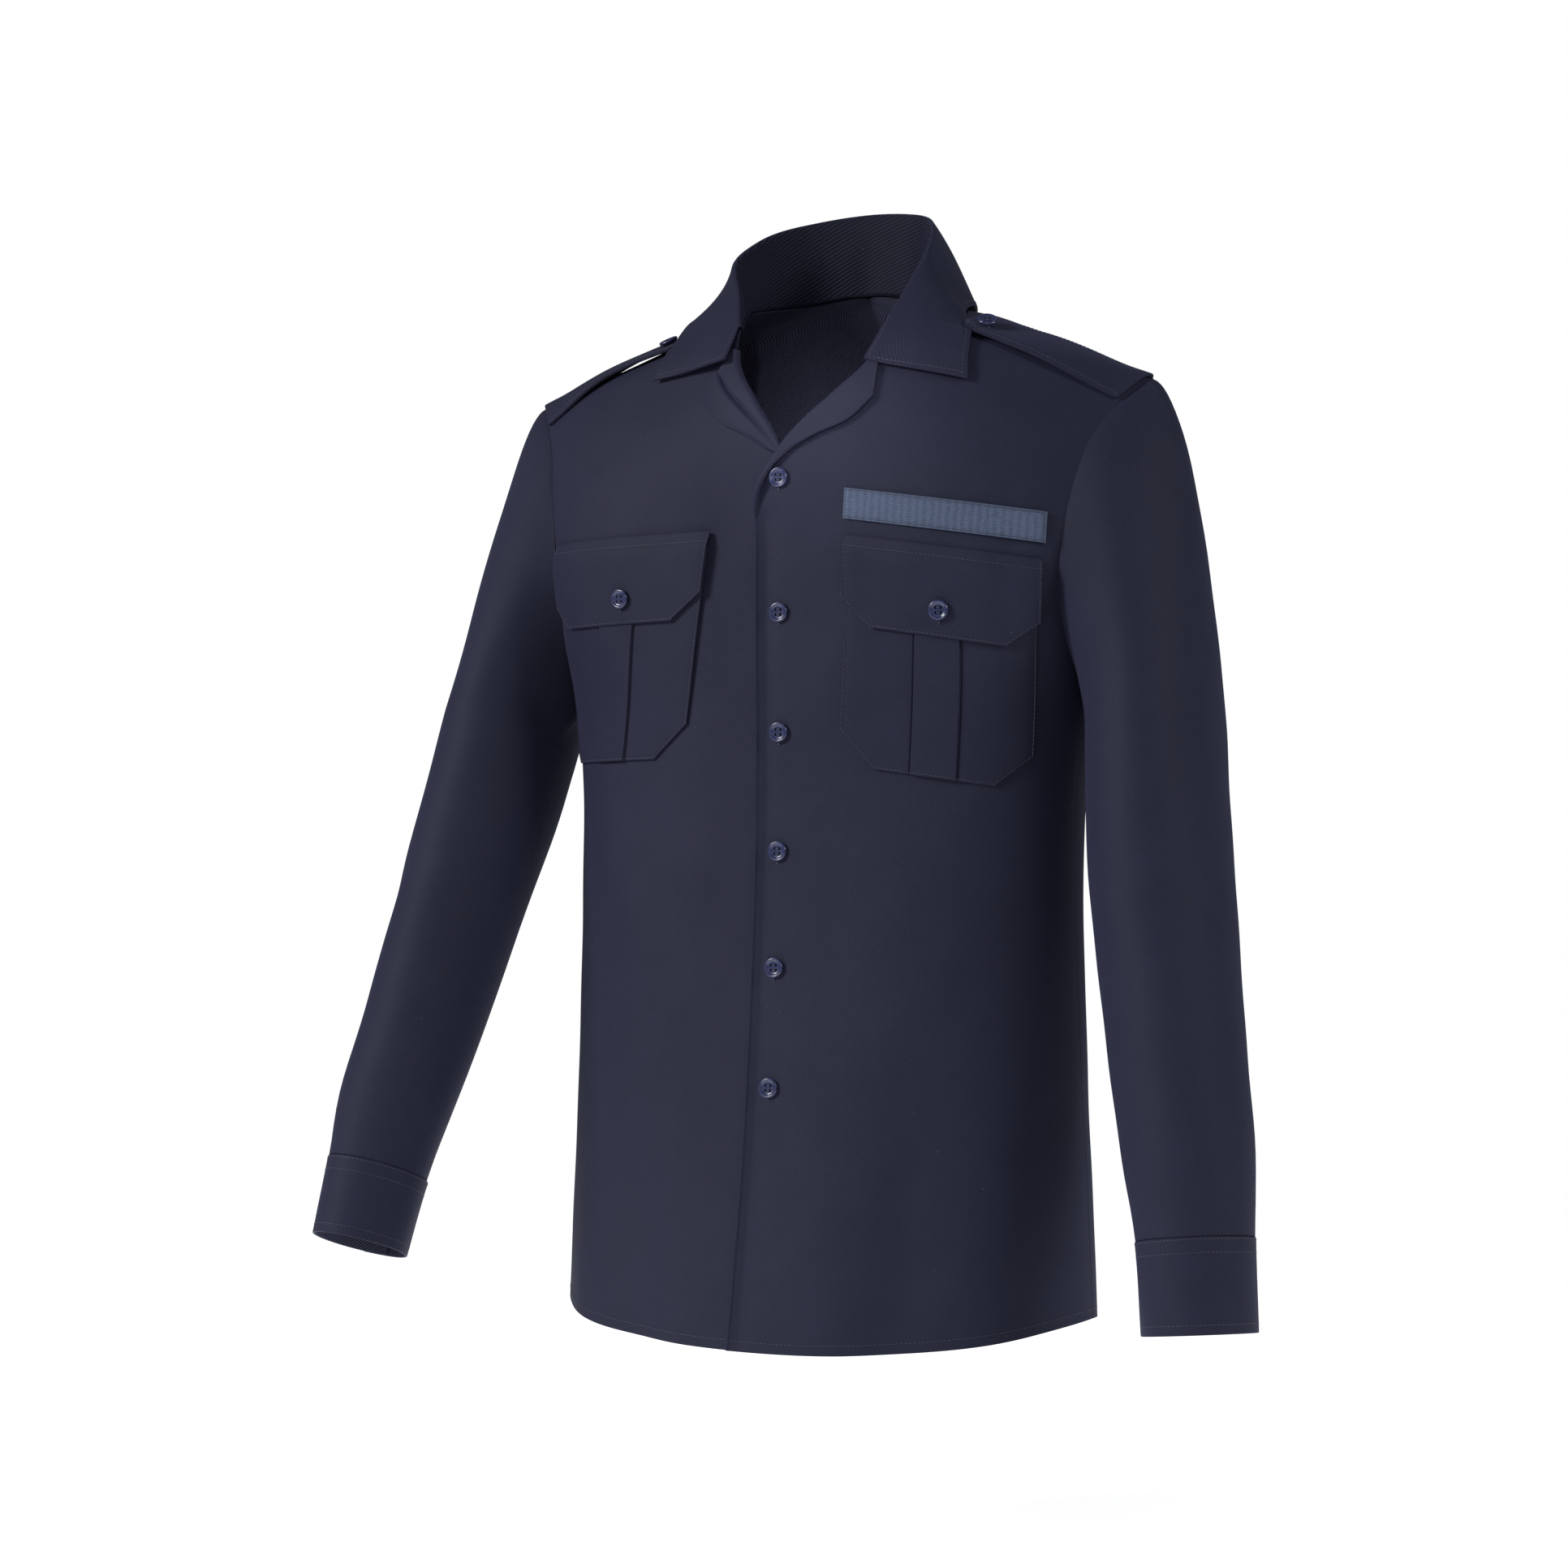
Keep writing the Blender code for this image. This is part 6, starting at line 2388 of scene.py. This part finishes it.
@dataclass
class ShoulderStraps:
    """Both shoulder straps, sewn in at the armhole and buttoned near the collar."""

    body: ShirtBody
    finishes: Finishes
    stitches: StitchTree
    buttons: ButtonMaker
    first: float = 0.25
    last: float = 0.985
    half_inner: float = 0.0185
    half_outer: float = 0.0245
    forward_inner: float = 0.018
    forward_outer: float = 0.007
    rounding: float = 0.003
    round_share: float = 0.111
    lift: float = 0.0030
    lift_share: float = 1.15
    lift_power: float = 1.5
    step: float = 0.004
    rest: float = 0.0018
    slope: tuple[float, float, float] = (0.39, 0.0, 0.92)
    length_steps: int = 45
    cross_steps: int = 18
    stitch: float = 0.0030
    shank: float = 0.0005
    end_raise: float = 0.0030
    end_lean: float = 0.0006
    end_share: float = 0.35
    right_end: float = 0.3
    tuck: float = 0.035
    end_skew: float = 0.0032
    end_under: float = 0.0050
    left_forward: float = 0.0040
    button_share: float = 0.7
    button_lean: float = 0.25
    button_shank: float = 0.0018
    thickness: float = 0.0024

    def grid(self, side: Side, length_steps: int, cross_steps: int, tuck: float = 0.0) -> Array:
        """Points of a strap, laid over the shoulder from near the collar to the armhole.

        Args:
            side: the wearer's left or right.
            length_steps: how many steps along it.
            cross_steps: how many across it.
            tuck: how much further in it starts.

        Returns:
            The points.
        """
        first = self.first - tuck
        front, back = self.body.halves[Face.FRONT, side], self.body.halves[Face.BACK, side]
        along = np.linspace(0.75, 1, 60)
        across = np.array([side.value * self.slope[2], 0, -self.slope[0]])
        grid = []
        for share in np.linspace(first, self.last, length_steps + 1):
            line = np.concatenate([front.grid([share], along)[:, 0], back.grid([share], along)[-2::-1, 0]])
            place = (share - first) / (self.last - first)
            ridge = lengths(line)[len(along) - 1]
            forward_inner = self.forward_inner + (self.left_forward if side is Side.LEFT else 0.0)
            ridge -= forward_inner * (1 - place) + self.forward_outer * place
            half_width = self.half_inner + (self.half_outer - self.half_inner) * place
            rise = self.rest + CLOTH
            rise += self.lift * math.sin(math.pi * min(place * self.lift_share, 1)) ** self.lift_power
            inner_end = 1 - smoothstep(0, self.end_share, place)
            inner_end *= 1.0 if side is Side.LEFT else self.right_end
            row = []
            for s in np.linspace(-1, 1, cross_steps + 1):
                at = ridge + s * half_width
                before, point, ahead = (along_line(line, at + step) for step in (-self.step, 0, self.step))
                normal = unit(np.cross(across, ahead - before))
                normal = normal if normal[2] > 0 else -normal
                cut = self.rounding * s**2 - self.end_skew * s - self.end_under * max(s, 0.0)
                point[0] += side.value * cut * (1 - min(place / self.round_share, 1))
                row.append(point + normal * (rise + inner_end * (self.end_raise + self.end_lean * s)))
            grid.append(row)
        return np.array(grid)

    def strap(self, side: Side) -> None:
        """One strap with its button.

        Args:
            side: the wearer's left or right.
        """
        grid = self.grid(side, self.length_steps, self.cross_steps, self.tuck)
        normals = grid_normals(grid, np.array([0, 0, 1]))
        ends = [grid[:, :1], grid[:, -1:], grid[:1]]
        gap = edge_distance(grid, ends)
        grid += normals * sewn_edge(gap, self.stitch)[..., None]
        name = f"epaulette_{side.word}"
        under = (f"front_{side.word}", "back")
        piece = ClothPiece(name, [grid], under, upwards, thickness=self.thickness, held="laid")
        piece.build(self.finishes.cloth)
        edges = (Edge.FIRST_COLUMN, Edge.LAST_COLUMN, Edge.FIRST_ROW)
        rows = [(edge, self.stitch, self.stitch) for edge in edges]
        self.stitches.edge_rows(f"{name}_stitches", grid, normals, rows)
        coarse = self.grid(side, 9, 6)
        normal = unit(np.cross(coarse[2, 3] - coarse[0, 3], coarse[1, 4] - coarse[1, 2]) * side.value)
        line = coarse[:2, 3]
        shank = self.shank
        if side is Side.LEFT:
            line = coarse[:2, 2:4].mean(axis=1)
            normal = unit(normal + np.array([0, -self.button_lean, 0]))
            shank = self.button_shank
        seat = line[0] * (1 - self.button_share) + line[1] * self.button_share + normal * shank
        self.buttons.add(f"button_strap_{side.word}", seat, normal)

    def build(self) -> None:
        """Makes both straps."""
        for side in Side:
            self.strap(side)


@dataclass
class ButtonMaker:
    """Four-hole buttons with a raised rim and crossed thread."""

    finishes: Finishes
    radius: float = 0.0067
    thick: float = 0.0026
    hole_out: float = 0.0023
    hole_radius: float = 0.00095
    sides: int = 40
    thread_rise: float = 0.00045
    thread_dip: float = 0.0012
    thread_gap: float = 0.00026
    thread_radius: float = 0.00019
    knot: tuple[float, float, float] = (0.0005, 0.0012, 0.0004)
    profile: tuple[tuple[float, float], ...] = (
        (0.74, 0.0),
        (0.90, 0.14),
        (0.985, 0.36),
        (1.0, 0.56),
        (0.985, 0.78),
        (0.93, 0.94),
        (0.86, 1.0),
        (0.78, 0.96),
        (0.70, 0.80),
        (0.62, 0.66),
        (0.54, 0.62),
    )
    shape: bpy.types.Mesh | None = None
    sewing: bpy.types.Mesh | None = None

    def blank(self) -> bpy.types.Mesh:
        """The button's shape with its four holes, at the origin.

        Returns:
            The mesh.
        """
        turns = [TWO_PI * i / self.sides for i in range(self.sides)]
        work = bmesh.new()
        rings = []
        for share, level in self.profile:
            out = self.radius * share
            rings.append([(out * math.cos(a), out * math.sin(a), self.thick * level) for a in turns])
        loft(work, rings)
        blank = new_object("button_blank", mesh_of(work, "button_blank"))
        drills = bmesh.new()
        for i in range(4):
            angle = math.pi / 4 + i * math.pi / 2
            where = (self.hole_out * math.cos(angle), self.hole_out * math.sin(angle), self.thick / 2)
            bmesh.ops.create_cone(
                drills,
                cap_ends=True,
                segments=14,
                radius1=self.hole_radius,
                radius2=self.hole_radius,
                depth=self.thick * 2,
                matrix=Matrix.Translation(where),
            )
        drill = new_object("button_drill", mesh_of(drills, "button_drill"))
        cut = blank.modifiers.new("Holes", "BOOLEAN")
        cut.operation = "DIFFERENCE"
        cut.solver = "EXACT"
        cut.object = drill
        settle(blank)
        shape = blank.data.copy()
        bpy.data.objects.remove(blank)
        bpy.data.objects.remove(drill)
        shape.materials.clear()
        shape.materials.append(self.finishes.resin)
        shape.shade_smooth()
        shape.set_sharp_from_angle(angle=math.radians(40))
        return shape

    def thread(self) -> bpy.types.Mesh:
        """Two pairs of thread turns through the holes, and the knot under the rim, at the origin.

        Returns:
            The mesh.
        """
        work = bmesh.new()
        reach = self.hole_out * math.sqrt(0.5)
        around = [(0, math.cos(TWO_PI * k / 6), math.sin(TWO_PI * k / 6)) for k in range(6)]
        for side in (-1, 1):
            for turn in (-0.5, 0.5):
                rings = []
                for t in np.linspace(-1, 1, 9):
                    height = self.thick * 0.62 + self.thread_rise * (1 - abs(t) ** 3)
                    height -= self.thread_dip * max(abs(t) - 0.9, 0) * 10
                    middle = Vector((t * reach, side * reach + turn * self.thread_gap, height))
                    rings.append([middle + Vector(way) * self.thread_radius for way in around])
                loft(work, rings)
        below = Matrix.Translation((0, -self.radius * 1.14, 0.0003))
        knot = below @ Matrix.Diagonal((*self.knot, 1))
        bmesh.ops.create_uvsphere(work, u_segments=8, v_segments=6, radius=1.0, matrix=knot)
        bmesh.ops.recalc_face_normals(work, faces=work.faces)
        mesh = mesh_of(work, "button_thread")
        mesh.materials.append(self.finishes.button_thread)
        mesh.shade_smooth()
        return mesh

    def add(self, name: str, seat: Array, normal: Array, radius: float | None = None) -> None:
        """Puts a button on the cloth.

        Args:
            name: the CAD node that it stands for.
            seat: the point of the cloth under its middle.
            normal: the way that it faces.
            radius: its radius, where it isn't the usual one.
        """
        if self.shape is None:
            self.shape = self.blank()
            self.sewing = self.thread()
        turn = Vector(normal).to_track_quat("Z", "Y").to_matrix().to_4x4()
        scale = (radius or self.radius) / self.radius
        lifted = Matrix.Translation(Vector(seat) + Vector(normal) * SEAM)
        place = lifted @ turn @ Matrix.Diagonal((scale, scale, 1, 1))
        for suffix, shape, slot in (("resin", self.shape, "button"), ("thread", self.sewing, None)):
            mesh = shape.copy()
            mesh.name = f"{name}_{suffix}"
            mesh.transform(place)
            piece = new_object(f"{name}_{suffix}", mesh)
            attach(piece, BODY_NAME)
            if slot:
                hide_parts(name)
        LOG.info("%s placed", name)


@dataclass
class FrontButtons:
    """The six buttons of the front."""

    body: ShirtBody
    buttons: ButtonMaker
    heights: tuple[float, ...] = (-0.1352, -0.2235, -0.3020, -0.3800, -0.4560, -0.5340)

    def build(self) -> None:
        """Makes the buttons."""
        half = self.body.halves[Face.FRONT, Side.LEFT]
        for number, z in enumerate(self.heights, start=1):
            point = half.place(0.0, z)
            self.buttons.add(f"button_front_{number}", point, half.normal(point))


@dataclass
class Studio:
    """Camera, lights and floor."""

    azimuth: float = math.radians(25.6)
    distance: float = 2.3
    height: float = -0.336
    focal_share: float = 4180 / 1932
    axis_at: float = (1031 - 966) / 1932
    middle: tuple[float, float, float] = (0, 0, -0.35)
    neck_watts: float = 85
    neck_angle: float = math.radians(5.2)
    neck_from: tuple[float, float, float] = (0.62, -1.65, 0.16)
    neck_to: tuple[float, float, float] = (0.004, -0.02, -0.095)
    lights: tuple[tuple[str, tuple[float, float, float], float, float], ...] = (
        ("key", (-2.1, -2.4, 1.2), 1.1, 112),
        ("front", (0.9, -3.1, 0.5), 1.6, 5),
        ("rim", (2.7, -0.3, 0.9), 0.8, 38),
    )
    fill: float = 0.14
    floor_z: float = -0.86
    floor_reach: float = 1.4

    def camera(self) -> None:
        """The camera at the photograph's viewing angle."""
        data = bpy.data.cameras.new("camera")
        data.sensor_width = 36
        data.lens = 36 * self.focal_share
        data.shift_x = -self.axis_at
        data.clip_end = 50
        camera = new_object("camera", data)
        across, away = math.sin(self.azimuth), math.cos(self.azimuth)
        camera.location = (self.distance * across, -self.distance * away, self.height)
        camera.rotation_euler = (math.pi / 2, 0, self.azimuth)
        bpy.context.scene.camera = camera

    def lamp(self, data: bpy.types.Light, place: Sequence[float], target: Sequence[float]) -> None:
        """A light at a place, aimed at a point.

        Args:
            data: its light.
            place: where it stands.
            target: where it points.
        """
        lamp = new_object(data.name, data)
        lamp.location = place
        lamp.rotation_euler = (Vector(target) - Vector(place)).to_track_quat("-Z", "Y").to_euler()

    def light(self, name: str, place: tuple[float, float, float], size: float, watts: float) -> None:
        """A large soft light aimed at the shirt's middle.

        Args:
            name: its name.
            place: where it stands.
            size: its width.
            watts: its power.
        """
        data = bpy.data.lights.new(name, "AREA")
        data.shape = "DISK"
        data.size = size
        data.energy = watts
        self.lamp(data, place, self.middle)

    def neck_light(self) -> None:
        """A narrow light into the open neck."""
        data = bpy.data.lights.new("neck_light", "SPOT")
        data.energy = self.neck_watts
        data.spot_size = self.neck_angle
        data.spot_blend = 0.5
        data.shadow_soft_size = 0.05
        self.lamp(data, self.neck_from, self.neck_to)

    def world(self) -> None:
        """An even pale surround: white where it is seen, weaker as light."""
        world = bpy.data.worlds.new("surround")
        world.use_nodes = True
        nodes, link = world.node_tree.nodes, world.node_tree.links.new
        seen = nodes["Background"]
        seen.inputs["Color"].default_value = (1, 1, 1, 1)
        seen.inputs["Strength"].default_value = 1.0
        fill = add_node(nodes, "ShaderNodeBackground", {"Color": (0.93, 0.96, 1, 1), "Strength": self.fill})
        path = add_node(nodes, "ShaderNodeLightPath")
        mix = add_node(nodes, "ShaderNodeMixShader")
        link(path.outputs["Is Camera Ray"], mix.inputs["Fac"])
        link(fill.outputs["Background"], mix.inputs[1])
        link(seen.outputs["Background"], mix.inputs[2])
        link(mix.outputs["Shader"], nodes["World Output"].inputs["Surface"])
        bpy.context.scene.world = world

    def floor(self) -> None:
        """The pale floor."""
        mesh = bpy.data.meshes.new("floor")
        far = self.floor_reach
        corners = [(-far, -far), (far, -far), (far, far), (-far, far)]
        mesh.from_pydata([(x, y, self.floor_z) for x, y in corners], [], [(0, 1, 2, 3)])
        mesh.materials.append(PaleFloor().build())
        floor = new_object("floor", mesh)

    def build(self) -> None:
        """Makes the studio."""
        self.camera()
        self.world()
        self.floor()
        for light in self.lights:
            self.light(*light)
        self.neck_light()
        bpy.context.scene.view_settings.view_transform = "Standard"


def main() -> None:
    """Builds the shirt around its frame."""
    logging.basicConfig(level=logging.INFO, format="%(message)s")
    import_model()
    Studio().build()
    body = ShirtBody()
    finishes = Finishes()
    stitches = StitchTree(finishes.thread)
    buttons = ButtonMaker(finishes)
    Panels(body, finishes, stitches).build()
    Sleeves(body, finishes, stitches, buttons).build()
    Collar(body, finishes, stitches).build()
    Lapels(body, finishes, stitches).build()
    Pockets(body, finishes, stitches, buttons).build()
    NameStrip(body, finishes, stitches).build()
    ShoulderStraps(body, finishes, stitches, buttons).build()
    FrontButtons(body, buttons).build()


if __name__ == "__main__":
    main()
